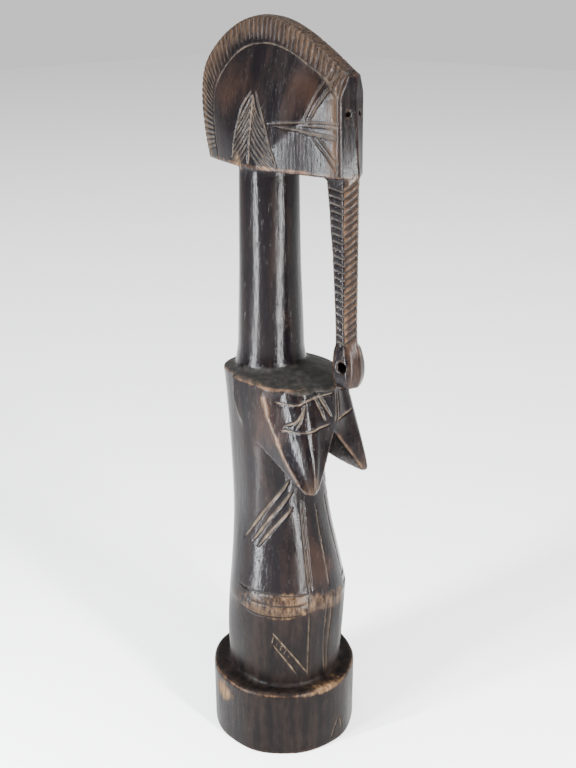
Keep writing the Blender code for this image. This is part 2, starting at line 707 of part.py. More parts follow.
def make_doll():
    body = make_chest()
    apply_boolean(body, make_cleft(), 'DIFFERENCE')
    apply_boolean(body, make_torso(), 'UNION')
    apply_boolean(body, make_shoulder_cut(), 'DIFFERENCE')
    for piece in (make_base(), make_neck(), make_head(), make_plait()):
        apply_boolean(body, piece, 'UNION')
    for cutter in make_carvings():
        apply_boolean(body, cutter, 'DIFFERENCE', crossing_cutters=True)
    for hole in make_holes():
        apply_boolean(body, hole, 'DIFFERENCE')
    body.name = "doll"
    body.data.name = "doll"
    body.data.materials.append(wood_material())
    body.data.shade_smooth()
    body.data.set_sharp_from_angle(angle=math.radians(35.0))


clear_scene()
make_doll()
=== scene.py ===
"""Dressed model of the Mossi fertility doll: fine carving, patina and worn wood."""
import math

import bpy
import numpy as np
from mathutils import Matrix, Vector


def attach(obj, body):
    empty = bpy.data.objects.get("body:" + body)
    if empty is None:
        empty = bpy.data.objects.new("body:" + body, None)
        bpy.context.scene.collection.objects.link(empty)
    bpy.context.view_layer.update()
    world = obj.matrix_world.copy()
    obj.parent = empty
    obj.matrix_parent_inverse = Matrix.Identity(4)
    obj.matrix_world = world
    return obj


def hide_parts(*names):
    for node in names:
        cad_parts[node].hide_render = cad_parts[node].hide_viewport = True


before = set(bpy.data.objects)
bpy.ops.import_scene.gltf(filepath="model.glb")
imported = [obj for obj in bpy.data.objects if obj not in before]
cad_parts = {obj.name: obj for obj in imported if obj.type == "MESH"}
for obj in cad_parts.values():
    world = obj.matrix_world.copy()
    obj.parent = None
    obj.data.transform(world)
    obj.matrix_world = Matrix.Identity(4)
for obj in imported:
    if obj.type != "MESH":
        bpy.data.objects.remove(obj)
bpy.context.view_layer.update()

MM = 0.001
IMAGE_HEIGHT = 768

# Base drum
BASE_RADIUS = 31.0 * MM
BASE_HEIGHT = 30.7 * MM
BASE_RIM_ROUNDING = 2.2 * MM
BASE_FOOT_ROUNDING = 0.7 * MM

# Heights of the figure, each stacked on the one before
TORSO_HEIGHT = 133.6 * MM
NECK_LENGTH = 82.2 * MM
HEAD_HEIGHT = 53.3 * MM
SHOULDER_Z = BASE_HEIGHT + TORSO_HEIGHT
HEAD_Z = SHOULDER_Z + NECK_LENGTH
SINK = 3.0 * MM

# Torso sections: share of the torso's height, then in millimetres half width,
# place of the widest point, reach to the front and reach to the back
TORSO_LOWER = [
    (0.00, 23.6, 0.0, 24.5, 22.6),
    (0.14, 24.9, 0.0, 25.7, 21.8),
    (0.29, 25.0, 0.0, 27.1, 19.6),
]
TORSO_UPPER = [
    (0.29, 25.0, 0.0, 27.1, 19.6),
    (0.40, 21.9, 0.0, 24.0, 20.5),
    (0.53, 18.9, 0.0, 19.7, 21.8),
    (0.65, 18.3, 0.0, 16.4, 22.3),
    (0.81, 18.6, 0.0, 15.5, 23.4),
    (0.93, 19.2, -3.0, 18.0, 25.3),
    (1.00, 20.0, -8.0, 22.0, 27.3),
]
TORSO_FULLNESS = 2.15
SHOULDER_RISE = 5.0 * MM
SHOULDER_DOME_RADIUS = 73.5 * MM

# Chest and breasts, in shares of the chest unit: drop below the shoulder rim,
# then x and y of the flat flank's start, the outer arris, the front ridge and
# the inner arris, and how far forward the underside meets the torso
CHEST_UNIT = 31.0 * MM
RIDGE_ROUNDING = 0.50
CHEST_STATIONS = [
    (-0.26, (0.620, 0.30), (0.640, -0.20), (0.445, -0.660), (0.03, -0.840), 0.20),
    (0.00, (0.620, 0.30), (0.650, -0.25), (0.455, -0.700), (0.03, -0.870), 0.20),
    (0.35, (0.610, 0.28), (0.640, -0.35), (0.465, -0.810), (0.03, -0.920), 0.10),
    (0.60, (0.600, 0.12), (0.630, -0.46), (0.475, -0.890), (0.05, -0.920), -0.10),
    (0.85, (0.600, -0.24), (0.620, -0.61), (0.490, -0.965), (0.20, -0.970), -0.35),
    (1.05, (0.600, -0.60), (0.610, -0.76), (0.505, -1.015), (0.34, -1.010), -0.40),
    (1.19, (0.590, -0.84), (0.600, -0.90), (0.520, -1.035), (0.44, -1.030), -0.46),
    (1.26, (0.565, -0.93), (0.575, -0.95), (0.525, -1.025), (0.47, -1.020), -0.90),
]
CLEFT_TOP_DROP = 0.58
CLEFT_HALF_WIDTH = 0.452

# Neck
NECK_RADIUS_FOOT = 13.4 * MM
NECK_RADIUS_MIDDLE = 12.2 * MM
NECK_RADIUS_TOP = 11.5 * MM
NECK_SETBACK = 6.2 * MM

# Head seen from the side, as shares of the head's height
CREST_OUTLINE = [
    (0.663, 0.000), (0.714, 0.230), (0.727, 0.480), (0.670, 0.685), (0.480, 0.873),
    (0.250, 0.985), (0.020, 0.998), (-0.200, 0.930), (-0.430, 0.805), (-0.657, 0.655),
]
FACE_TOP_OUTLINE = [(-0.655, 0.600), (-0.642, 0.510)]
FACE_FOOT = (-0.648, 0.000)
HEAD_CENTRE = 0.058
HEAD_HALF_THICKNESS = 12.7 * MM
CREST_HALF_THICKNESS = 3.6 * MM
FACE_HALF_WIDTH = 6.5 * MM
HEAD_BELLY_POWER = 1.35
CREST_CROWN = 0.5 * MM
FACE_RIDGE_TOP = 1.2 * MM
FACE_RIDGE_FOOT = 3.7 * MM
CENTRE_Y = HEAD_CENTRE * HEAD_HEIGHT

# Eyes
EYE_RADIUS = 0.95 * MM
EYE_DEPTH = 2.2 * MM
EYE_OFFSET = 3.1 * MM
EYE_HEIGHT_SHARE = 0.415

# Plait: share of its length below the head's underside, then in millimetres
# half width, rear face, side corner and front ridge
PLAIT_CLEARANCE = 3.0 * MM
PLAIT_LENGTH = NECK_LENGTH - PLAIT_CLEARANCE
PLAIT_STATIONS = [
    (-0.045, 5.0, -23.0, -35.6, -37.6),
    (0.000, 4.7, -24.2, -35.9, -37.8),
    (0.020, 4.5, -26.2, -36.0, -37.9),
    (0.100, 4.4, -27.3, -36.0, -38.0),
    (0.230, 4.4, -28.4, -36.1, -38.1),
    (0.430, 4.2, -29.8, -36.3, -38.3),
    (0.780, 4.0, -31.2, -36.9, -38.7),
    (0.815, 4.8, -30.9, -38.2, -39.6),
    (0.890, 5.3, -30.8, -39.5, -40.6),
    (0.950, 5.2, -30.9, -39.4, -40.5),
    (1.000, 4.4, -31.3, -38.4, -39.4),
]
KNOB_HOLE_RADIUS = 2.0 * MM
KNOB_HOLE_SETBACK = -35.4 * MM
KNOB_HOLE_SHARE = 0.890

# Carved lines; width and depth in millimetres
LINE_WIDTH = 1.1
LINE_DEPTH = 0.65
CREST_HATCH_COUNT = 46
CREST_NICK_COUNT = 58
CREST_NICK_LEAN = 0.033
CREST_NICK_REACH = 0.86
LEAF_CHEVRONS_RIGHT = 8
LEAF_CHEVRONS_LEFT = 6
PLAIT_CHEVRON_COUNT = 22
PLAIT_CHEVRON_FIRST = 0.012
PLAIT_CHEVRON_LAST = 0.765
PLAIT_CHEVRON_RISE = 4.2 * MM
PLAIT_SIDE_FALL = 1.5 * MM

# How softly each part runs into the others
CHEST_BLEND = 0.5 * MM
SHOULDER_RIM_ROUNDING = 1.0 * MM
BASE_BLEND = 0.6 * MM
NECK_BLEND = 1.2 * MM
HEAD_BLEND = 0.6 * MM
PLAIT_BLEND = 1.0 * MM

# Mesh: grid of the first surface, then longest edges on plain skin, along
# arrises and in carved lines, and the bend that counts as an arris
GRID_STEP = 1.6 * MM
COARSE_EDGE = 2.6 * MM
ARRIS_EDGE = 0.98 * MM
FINE_EDGE = 0.64 * MM
ARRIS_BEND = 0.10
FAR = 1.0


def smooth_min(a, b, k):
    h = np.clip(0.5 + 0.5 * (b - a) / k, 0.0, 1.0)
    return b + (a - b) * h - k * h * (1.0 - h)


def smooth_max(a, b, k):
    return -smooth_min(-a, -b, k)


def smooth_step(low, high, value):
    u = np.clip((value - low) / (high - low), 0.0, 1.0)
    return u * u * (3.0 - 2.0 * u)


class Track:
    """Smooth interpolation of one column of a station list, given in some unit."""

    def __init__(self, stations, column, part=None, unit=1.0):
        self.x = np.array([s[0] for s in stations])
        values = [s[column] if part is None else s[column][part] for s in stations]
        self.y = np.array(values, dtype=float) * unit
        last = len(stations) - 1
        low = np.maximum(np.arange(last + 1) - 1, 0)
        high = np.minimum(np.arange(last + 1) + 1, last)
        self.slope = (self.y[high] - self.y[low]) / (self.x[high] - self.x[low])

    def __call__(self, value):
        value = np.clip(value, self.x[0], self.x[-1])
        k = np.clip(np.searchsorted(self.x, value) - 1, 0, len(self.x) - 2)
        span = self.x[k + 1] - self.x[k]
        u = (value - self.x[k]) / span
        rise = u * u * (3.0 - 2.0 * u)
        curl = u * (1.0 - u) * span * ((1.0 - u) * self.slope[k] - u * self.slope[k + 1])
        return self.y[k] + (self.y[k + 1] - self.y[k]) * rise + curl


LOWER, UPPER, PLAIT = ([Track(stations, c, unit=MM) for c in (1, 2, 3, 4)]
                       for stations in (TORSO_LOWER, TORSO_UPPER, PLAIT_STATIONS))
CHEST = {(c, p): Track(CHEST_STATIONS, c, p) for c in (1, 2, 3, 4) for p in (0, 1)}
CHEST_BACK = Track(CHEST_STATIONS, 5)


def columns(*values):
    """Points from their coordinates, where a single number stands for all of them."""
    return np.stack(np.broadcast_arrays(*values), axis=1)


def torso_section(share):
    """Half width, widest place, front and back at a share of the torso's height."""
    low = share < TORSO_LOWER[-1][0]
    return [np.where(low, a(np.minimum(share, TORSO_LOWER[-1][0])), b(share)) for a, b in zip(LOWER, UPPER)]


def polygon_distance(px, py, xs, ys):
    """Signed distance in a plane to polygons given as lists of corner arrays."""
    best = np.full(px.shape, FAR)
    sign = np.ones(px.shape)
    count = len(xs)
    for i in range(count):
        j = (i + 1) % count
        ex, ey = xs[j] - xs[i], ys[j] - ys[i]
        wx, wy = px - xs[i], py - ys[i]
        along = np.clip((wx * ex + wy * ey) / np.maximum(ex * ex + ey * ey, 1e-18), 0.0, 1.0)
        bx, by = wx - ex * along, wy - ey * along
        best = np.minimum(best, bx * bx + by * by)
        above = py >= ys[i]
        below = py < ys[j]
        left = ex * wy > ey * wx
        flip = (above & below & left) | (~above & ~below & ~left)
        sign = np.where(flip, -sign, sign)
    return sign * np.sqrt(best)


def base_field(x, y, z):
    r = np.hypot(x, y)
    turn = np.arctan2(y, x)
    hewn = 0.16 * MM * np.cos(9.0 * turn + 40.0 * z) + 0.12 * MM * np.cos(5.0 * turn + 1.3)
    rounding = np.where(z > 0.5 * BASE_HEIGHT, BASE_RIM_ROUNDING, BASE_FOOT_ROUNDING)
    dr = r - BASE_RADIUS - hewn + rounding
    dz = np.abs(z - 0.5 * BASE_HEIGHT) - 0.5 * BASE_HEIGHT + rounding
    outside = np.hypot(np.maximum(dr, 0.0), np.maximum(dz, 0.0))
    return outside + np.minimum(np.maximum(dr, dz), 0.0) - rounding


def torso_field(x, y, z):
    share = np.clip((z - BASE_HEIGHT) / TORSO_HEIGHT, 0.0, 1.0)
    half, widest, front, back = torso_section(share)
    dy = y - widest
    reach = np.where(dy < 0.0, front + widest, back - widest)
    n = TORSO_FULLNESS
    g = ((np.abs(x) / half) ** n + (np.abs(dy) / reach) ** n) ** (1.0 / n)
    rho = np.hypot(x, dy)
    d = np.where(g > 0.05, rho - rho / np.maximum(g, 0.05), -0.9 * half)
    return np.maximum(d, BASE_HEIGHT - SINK - z)


def chest_curve(drop, share):
    """Front of a breast, from its outer arris (0) over the ridge to the inner arris (1)."""
    point = []
    for part in (0, 1):
        arris, ridge, inner = (CHEST[c, part](drop) * CHEST_UNIT for c in (2, 3, 4))
        before = ridge + (arris - ridge) * RIDGE_ROUNDING
        after = ridge + (inner - ridge) * RIDGE_ROUNDING
        bend = min(max((share - 0.3) / 0.4, 0.0), 1.0)
        pull = 2.0 * ridge - 0.5 * (before + after)
        rest = 1.0 - bend
        place = rest * rest * before + 2.0 * bend * rest * pull + bend * bend * after
        place = place + (arris - before) * max(0.0, 1.0 - share / 0.3)
        point.append(place + (inner - after) * max(0.0, (share - 0.7) / 0.3))
    return point


def chest_field(x, y, z):
    drop = (SHOULDER_Z - z) / CHEST_UNIT
    flank = [CHEST[1, p](drop) * CHEST_UNIT for p in (0, 1)]
    xs, ys = [flank[0]], [flank[1]]
    for share in (0.0, 0.3, 0.36, 0.43, 0.5, 0.57, 0.64, 0.7, 1.0):
        px, py = chest_curve(drop, share)
        xs.append(px)
        ys.append(py)
    back = CHEST_BACK(drop) * CHEST_UNIT
    xs = xs + [-v for v in xs[::-1]] + [-0.5 * flank[0], 0.5 * flank[0]]
    ys = ys + ys[::-1] + [back, back]
    d = polygon_distance(x, y, xs, ys)
    tip_z = SHOULDER_Z - CHEST_STATIONS[-1][0] * CHEST_UNIT
    d = smooth_max(d, tip_z - z, 0.8 * MM)
    slope = CLEFT_HALF_WIDTH / (CHEST_STATIONS[-1][0] - CLEFT_TOP_DROP)
    top_z = SHOULDER_Z - CLEFT_TOP_DROP * CHEST_UNIT
    cleft = (np.abs(x) - slope * (top_z - z)) / math.sqrt(1.0 + slope * slope)
    return smooth_max(d, -cleft, 0.9 * MM)


def neck_field(x, y, z):
    foot, top = SHOULDER_Z + SHOULDER_RISE, HEAD_Z
    middle = 0.5 * (foot + top)
    heights = [foot - 4.0 * MM, foot, foot + 5.0 * MM, middle, top]
    radii = [NECK_RADIUS_FOOT + 1.6 * MM, NECK_RADIUS_FOOT + 0.8 * MM, NECK_RADIUS_FOOT,
             NECK_RADIUS_MIDDLE, NECK_RADIUS_TOP]
    turn = np.arctan2(y - NECK_SETBACK, x)
    hewn = 0.12 * MM * np.cos(7.0 * turn + 25.0 * z) + 0.10 * MM * np.cos(3.0 * turn - 60.0 * z)
    r = np.hypot(x, y - NECK_SETBACK) - np.interp(z, heights, radii) - hewn
    return np.maximum(r, np.maximum(SHOULDER_Z - SINK - z, z - HEAD_Z - SINK))


def head_boundary(steps=6, face_steps=8):
    """Edge of the head's side from back to front: y and z in metres."""
    last = len(CREST_OUTLINE) - 1
    spots = np.linspace(0.0, last, steps * last + 1)
    tracks = [Track([(i, p[c]) for i, p in enumerate(CREST_OUTLINE)], 1) for c in (0, 1)]
    edge = list(zip(*(track(spots) for track in tracks))) + FACE_TOP_OUTLINE[:-1]
    y, z = FACE_TOP_OUTLINE[-1]
    for i in range(face_steps + 1):
        share = i / face_steps
        edge.append((y + (FACE_FOOT[0] - y) * share, z * (1.0 - share)))
    return np.array(edge) * HEAD_HEIGHT


BOUNDARY = head_boundary()
BOUNDARY_ANGLE = np.arctan2(BOUNDARY[:, 1], BOUNDARY[:, 0] - CENTRE_Y)
BOUNDARY_REACH = np.hypot(BOUNDARY[:, 1], BOUNDARY[:, 0] - CENTRE_Y)


def radial_share(y, z):
    """How far out a place on the head's side lies: 0 in the middle, 1 at the edge."""
    up = np.maximum(z, 0.0)
    reach = np.interp(np.arctan2(up, y - CENTRE_Y), BOUNDARY_ANGLE, BOUNDARY_REACH)
    return np.hypot(up, y - CENTRE_Y) / reach


def head_thickness(y, z):
    """Half thickness of the head at a height z above its underside."""
    share = radial_share(y, z)
    belly = (HEAD_HALF_THICKNESS - CREST_HALF_THICKNESS) * (1.0 - np.minimum(share, 1.3) ** HEAD_BELLY_POWER)
    forward = smooth_step(-0.15 * HEAD_HEIGHT, -0.62 * HEAD_HEIGHT, y)
    down = 1.0 - smooth_step(0.50 * HEAD_HEIGHT, 0.68 * HEAD_HEIGHT, z)
    return CREST_HALF_THICKNESS + belly + (FACE_HALF_WIDTH - CREST_HALF_THICKNESS) * forward * down


def head_field(x, y, z):
    up = z - HEAD_Z
    half = head_thickness(y, up)
    side = (np.abs(x) - half) * 0.96
    ys = list(BOUNDARY[:, 0])
    zs = list(BOUNDARY[:, 1])
    outline = polygon_distance(y, up, ys + [ys[-1], ys[0]], zs + 2 * [-2.0 * SINK])
    in_face = smooth_step(-0.60 * HEAD_HEIGHT, -0.64 * HEAD_HEIGHT, y)
    down = np.clip(1.0 - up / (CREST_OUTLINE[-1][1] * HEAD_HEIGHT), 0.0, 1.0)
    ridge = CREST_CROWN + in_face * (FACE_RIDGE_TOP + (FACE_RIDGE_FOOT - FACE_RIDGE_TOP) * down - CREST_CROWN)
    roof = ridge * np.clip(1.0 - np.abs(x) / half, 0.0, 1.0)
    d = smooth_max(side, outline - roof, 0.8 * MM)
    eye = np.hypot(np.abs(x) - EYE_OFFSET, up - EYE_HEIGHT_SHARE * HEAD_HEIGHT) - EYE_RADIUS
    eye = np.maximum(eye, y - FACE_FOOT[0] * HEAD_HEIGHT - EYE_DEPTH)
    d = smooth_max(d, -eye, 0.25 * MM)
    return smooth_max(d, -up, 0.6 * MM)


def plait_field(x, y, z):
    share = (HEAD_Z - z) / PLAIT_LENGTH
    half, rear, corner, ridge = (track(share) for track in PLAIT)
    rounding = 0.55 * MM
    chamfer = 1.2 * MM
    h = half - rounding
    side, front = corner + rounding + chamfer, corner + rounding
    xs = [-h, h, h, h - chamfer, 0.0 * h, -h + chamfer, -h]
    ys = [rear - rounding, rear - rounding, side, front, ridge + rounding, front, side]
    d = polygon_distance(x, y, xs, ys) - rounding
    end = HEAD_Z - PLAIT_LENGTH
    d = smooth_max(d, end - z, 1.2 * MM)
    d = np.maximum(d, z - HEAD_Z - SINK)
    hole_z = HEAD_Z - KNOB_HOLE_SHARE * PLAIT_LENGTH
    hole = np.hypot(y - KNOB_HOLE_SETBACK, z - hole_z) - KNOB_HOLE_RADIUS
    return smooth_max(d, -hole, 0.5 * MM)


def where_near(field, x, y, z, around, margin=6.0 * MM):
    """Value of a field inside a box and its margin, and far away elsewhere."""
    low, high = around
    near = (z > low[2] - margin) & (z < high[2] + margin)
    near &= (y > low[1] - margin) & (y < high[1] + margin)
    near &= np.abs(x) < high[0] + margin
    d = np.full(x.shape, FAR)
    if near.any():
        d[near] = field(x[near], y[near], z[near])
    return d


def box(half, front, back, foot, top):
    """Box around a part: widths in millimetres, foot and top in metres."""
    return (-half * MM, front * MM, foot), (half * MM, back * MM, top)


SHOULDER_TOP = SHOULDER_Z + SHOULDER_RISE
BASE_BOX = box(31, -31, 31, 0.0, BASE_HEIGHT)
TORSO_BOX = box(25, -28, 28, BASE_HEIGHT - SINK, SHOULDER_TOP)
CHEST_BOX = box(21, -34, 10, SHOULDER_Z - 40 * MM, SHOULDER_TOP)
NECK_BOX = box(15, -9, 22, SHOULDER_Z - SINK, HEAD_Z + SINK)
HEAD_BOX = box(13, -40, 40, HEAD_Z, HEAD_Z + HEAD_HEIGHT)
PLAIT_BOX = box(6, -42, -22, HEAD_Z - PLAIT_LENGTH, HEAD_Z + SINK)


def dome_height(x, y):
    """Height of the shoulders' domed top."""
    return SHOULDER_Z + SHOULDER_RISE - 0.5 * (x * x + y * y) / SHOULDER_DOME_RADIUS


def doll_field(points):
    """Signed distance-like value of the whole doll, negative inside the wood."""
    x, y, z = points.T
    torso = where_near(torso_field, x, y, z, TORSO_BOX)
    turn = np.arctan2(y, x)
    torso = torso + 0.13 * MM * np.cos(8.0 * turn + 30.0 * z) + 0.10 * MM * np.cos(5.0 * turn - 55.0 * z)
    body = smooth_min(torso, where_near(chest_field, x, y, z, CHEST_BOX), CHEST_BLEND)
    body = smooth_max(body, z - dome_height(x, y), SHOULDER_RIM_ROUNDING)
    for field, around, blend in ((base_field, BASE_BOX, BASE_BLEND), (neck_field, NECK_BOX, NECK_BLEND),
                                 (head_field, HEAD_BOX, HEAD_BLEND), (plait_field, PLAIT_BOX, PLAIT_BLEND)):
        body = smooth_min(body, where_near(field, x, y, z, around), blend)
    return body


def field_gradient(points, step=0.05 * MM):
    """Slope of the doll's field along each axis."""
    gradient = np.empty_like(points)
    for axis in range(3):
        shift = np.zeros(3)
        shift[axis] = step
        gradient[:, axis] = (doll_field(points + shift) - doll_field(points - shift)) / (2.0 * step)
    return gradient


def project(points, rounds=2, reach=1.0 * MM):
    """Move points along the gradient onto the wood's surface; gives points and normals."""
    for _ in range(rounds):
        value = doll_field(points)
        gradient = field_gradient(points)
        steep = np.maximum((gradient ** 2).sum(axis=1), 0.2)
        move = np.clip(value / steep, -reach, reach)
        points = points - gradient * move[:, None]
    gradient = field_gradient(points)
    length = np.maximum(np.linalg.norm(gradient, axis=1, keepdims=True), 1e-9)
    return points, gradient / length


def neighbours(values, axis, others=slice(None)):
    """Two views of a grid: each value, and the next one along an axis."""
    lower, upper = [others] * 3, [others] * 3
    lower[axis], upper[axis] = slice(0, -1), slice(1, None)
    return values[tuple(lower)], values[tuple(upper)]


def surface_net(step):
    """Closed quad mesh of the doll: one vertex in each grid cell that the surface crosses."""
    low = np.array([-33.0, -43.5, -2.1]) * MM
    high = np.array([33.0, 41.0, 303.0]) * MM
    axes = [np.arange(low[i], high[i] + step, step) for i in range(3)]
    shape = tuple(len(a) for a in axes)
    grid = np.stack(np.meshgrid(*axes, indexing="ij"), axis=-1).reshape(-1, 3)
    value = doll_field(grid).reshape(shape)
    inside = value < 0.0
    cells = tuple(n - 1 for n in shape)
    total = np.zeros(cells + (3,))
    count = np.zeros(cells)
    index = np.stack(np.meshgrid(*[np.arange(n) for n in shape], indexing="ij"), axis=-1).astype(float)
    for axis in range(3):
        a, b = neighbours(value, axis)
        crossed = (a < 0.0) != (b < 0.0)
        place = neighbours(index, axis)[0].copy()
        place[..., axis] += np.where(crossed, a / np.where(crossed, a - b, 1.0), 0.0)
        others = [i for i in range(3) if i != axis]
        for da in (0, 1):
            for db in (0, 1):
                pick = [slice(None)] * 3
                pick[others[0]] = slice(da, da + cells[others[0]])
                pick[others[1]] = slice(db, db + cells[others[1]])
                pick = tuple(pick)
                total += np.where(crossed[pick][..., None], place[pick], 0.0)
                count += crossed[pick]
    used = count > 0
    number = np.full(cells, -1)
    number[used] = np.arange(used.sum())
    vertices = low + total[used] / count[used][:, None] * step
    quads = []
    for axis in range(3):
        others = [i for i in range(3) if i != axis]
        a, b = neighbours(inside, axis, slice(1, -1))
        spots = np.argwhere(a != b)
        outward = a[tuple(spots.T)]
        corner = spots.copy()
        corner[:, others[0]] += 1
        corner[:, others[1]] += 1
        ring = []
        for da, db in ((-1, -1), (0, -1), (0, 0), (-1, 0)):
            cell = corner.copy()
            cell[:, others[0]] += da
            cell[:, others[1]] += db
            ring.append(number[tuple(cell.T)])
        ring = np.stack(ring, axis=1)
        flip = outward if axis != 1 else ~outward
        quads.append(np.where(flip[:, None], ring, ring[:, ::-1]))
    quads = np.concatenate(quads)
    return vertices, np.concatenate([quads[:, [0, 1, 2]], quads[:, [0, 2, 3]]])


def edge_list(faces):
    """Unique edges, and for each face the numbers of its edges 01, 12 and 20."""
    pairs = np.concatenate([faces[:, [0, 1]], faces[:, [1, 2]], faces[:, [2, 0]]])
    pairs.sort(axis=1)
    edges, back = np.unique(pairs, axis=0, return_inverse=True)
    return edges, back.reshape(3, -1).T


def split_long_edges(vertices, faces, wanted):
    """One round of longest-edge splits where an edge is longer than wanted at its middle."""
    edges, of_face = edge_list(faces)
    ends = vertices[edges]
    length = np.linalg.norm(ends[:, 0] - ends[:, 1], axis=1)
    middle = ends.mean(axis=1)
    marked = length > wanted(middle)
    face_length = length[of_face]
    longest = of_face[np.arange(len(faces)), face_length.argmax(axis=1)]
    while True:
        grow = marked[of_face].any(axis=1)
        before = marked.sum()
        marked[longest[grow]] = True
        if marked.sum() == before:
            break
    fresh = np.full(len(edges), -1)
    fresh[marked] = len(vertices) + np.arange(marked.sum())
    vertices = np.concatenate([vertices, middle[marked]])
    turn = face_length.argmax(axis=1)
    rows = np.arange(len(faces))
    a, b, c = (faces[rows, (turn + i) % 3] for i in range(3))
    ab, bc, ca = (fresh[of_face[rows, (turn + i) % 3]] for i in range(3))
    out = [faces[ab < 0]]
    cut = ab >= 0
    for first, last, side in ((b, c, bc), (c, a, ca)):
        plain = cut & (side < 0)
        half = cut & (side >= 0)
        out.append(np.stack([first, last, ab], axis=1)[plain])
        out.append(np.stack([first, side, ab], axis=1)[half])
        out.append(np.stack([side, last, ab], axis=1)[half])
    return vertices, np.concatenate(out), marked.sum()


def neighbour_mean(values, edges):
    """Mean of the values at each vertex's neighbours."""
    count = np.bincount(edges.ravel(), minlength=len(values))
    total = np.bincount(edges[:, 0], values[edges[:, 1]], len(values))
    total += np.bincount(edges[:, 1], values[edges[:, 0]], len(values))
    return total / np.maximum(count, 1)


def relax(vertices, faces, rounds=2, pull=0.5):
    """Even out the triangles by sliding each vertex towards its neighbours' middle."""
    edges, _ = edge_list(faces)
    for _ in range(rounds):
        step = (columns(*(neighbour_mean(values, edges) for values in vertices.T)) - vertices) * pull
        _, normal = project(vertices, rounds=0)
        step -= normal * (step * normal).sum(axis=1, keepdims=True)
        vertices, _ = project(vertices + step, rounds=1)
    return vertices


def travelled_along(points):
    """Distance from a path's start to each of its points."""
    return np.concatenate([[0.0], np.cumsum(np.linalg.norm(np.diff(points, axis=0), axis=1))])


class Carving:
    """Carved lines that follow the surface, and how deep they cut at a point."""

    def __init__(self):
        self.lines = []

    def add(self, start, direction, width=LINE_WIDTH, depth=LINE_DEPTH, ends=(2.5, 2.5), dust=1.0):
        """Add the line that start points hit when they travel along their direction.

        Width, depth and the length over which each end fades are in millimetres.
        """
        ends = [end * MM for end in ends]
        self.lines.append((np.asarray(start), np.asarray(direction), width * MM, depth * MM, ends, dust))

    def settle(self):
        """Drop every line onto the wood's surface."""
        starts = np.concatenate([line[0] for line in self.lines])
        directions = np.concatenate([np.broadcast_to(line[1], line[0].shape) for line in self.lines])
        found = cast(starts, directions)
        place = 0
        for i, (start, _, width, depth, ends, dust) in enumerate(self.lines):
            self.lines[i] = (found[place:place + len(start)], width, depth, ends, dust)
            place += len(start)

    def depth_at(self, vertices):
        """Depth of the cut at each vertex, how far it is in a cut, and how dusty that cut is."""
        depth = np.zeros(len(vertices))
        share = np.zeros(len(vertices))
        dusty = np.zeros(len(vertices))
        for points, width, deep, ends, dust in self.lines:
            reach = 0.5 * width + 0.1 * MM
            near = (vertices > points.min(axis=0) - reach) & (vertices < points.max(axis=0) + reach)
            rows = np.flatnonzero(near.all(axis=1))
            if len(rows) == 0:
                continue
            travelled = travelled_along(points)
            best = np.full(len(rows), FAR)
            along = np.zeros(len(rows))
            for i, run in enumerate(np.diff(points, axis=0)):
                offset = vertices[rows] - points[i]
                share_of_run = np.clip(offset @ run / max(run @ run, 1e-12), 0.0, 1.0)
                gap = np.linalg.norm(offset - share_of_run[:, None] * run, axis=1)
                closer = gap < best
                best = np.where(closer, gap, best)
                along = np.where(closer, travelled[i] + share_of_run * np.linalg.norm(run), along)
            fade = np.clip(along / max(ends[0], 1e-6), 0.0, 1.0)
            fade = fade * np.clip((travelled[-1] - along) / max(ends[1], 1e-6), 0.0, 1.0)
            fade = np.sqrt(np.clip(fade, 0.0, 1.0))
            uneven = 1.0 + 0.07 * np.sin(along / (2.6 * MM) + 40.0 * points[0, 2] / MM)
            half = 0.5 * width * (0.45 + 0.55 * fade) * uneven
            cut = np.clip(1.0 - best / half, 0.0, 1.0) * fade
            cut = cut * (1.6 - 0.6 * cut) * uneven
            depth[rows] = np.maximum(depth[rows], deep * cut)
            share[rows] = np.maximum(share[rows], np.minimum(cut, 1.0))
            dusty[rows] = np.maximum(dusty[rows], dust * (cut > 0.0))
        return depth, share, dusty


def cast(start, direction, rounds=60):
    """First place where points that travel along a direction cross the wood's surface."""
    direction = direction / np.linalg.norm(direction, axis=1, keepdims=True)
    inside = np.sign(doll_field(start))
    points = start.copy()
    for _ in range(rounds):
        step = np.clip(inside * doll_field(points) * 0.85, -3.0 * MM, 3.0 * MM)
        points = points + direction * step[:, None]
    return points


def smooth_path(points, spacing=1.2 * MM):
    """Evenly spaced points on a smooth curve through a few given ones."""
    points = np.asarray(points, dtype=float)
    last = len(points) - 1
    spots = np.linspace(0.0, last, 24 * last + 1)
    tracks = [Track([(i, p[axis]) for i, p in enumerate(points)], 1) for axis in range(points.shape[1])]
    dense = np.stack([track(spots) for track in tracks], axis=1)
    travelled = travelled_along(dense)
    count = max(3, int(math.ceil(travelled[-1] / spacing)) + 1)
    wanted = np.linspace(0.0, travelled[-1], count)
    return np.stack([np.interp(wanted, travelled, dense[:, axis]) for axis in range(points.shape[1])], axis=1)


# Where lines start before they travel to the wood, and the radius in
# millimetres at which the torso's lines are unrolled
BESIDE = 30.0 * MM
BEFORE = 60.0 * MM
TORSO_UNROLLED = 22.0
BACKWARD = np.array([[0.0, 1.0, 0.0]])


def on_head(places, side):
    """Start points and direction for a line on one side of the head, from y and z shares."""
    path = smooth_path(np.asarray(places) * HEAD_HEIGHT)
    return columns(-side * BESIDE, path[:, 0], HEAD_Z + path[:, 1]), np.array([[side * 1.0, 0.0, 0.0]])


def on_torso(places):
    """Start points and directions for a line round the torso, from angles and height shares."""
    path = smooth_path([(math.radians(a) * TORSO_UNROLLED * MM, s * TORSO_HEIGHT) for a, s in places])
    angle = path[:, 0] / (TORSO_UNROLLED * MM)
    return columns(0.0, 0.0, BASE_HEIGHT + path[:, 1]), columns(-np.sin(angle), -np.cos(angle), 0.0)


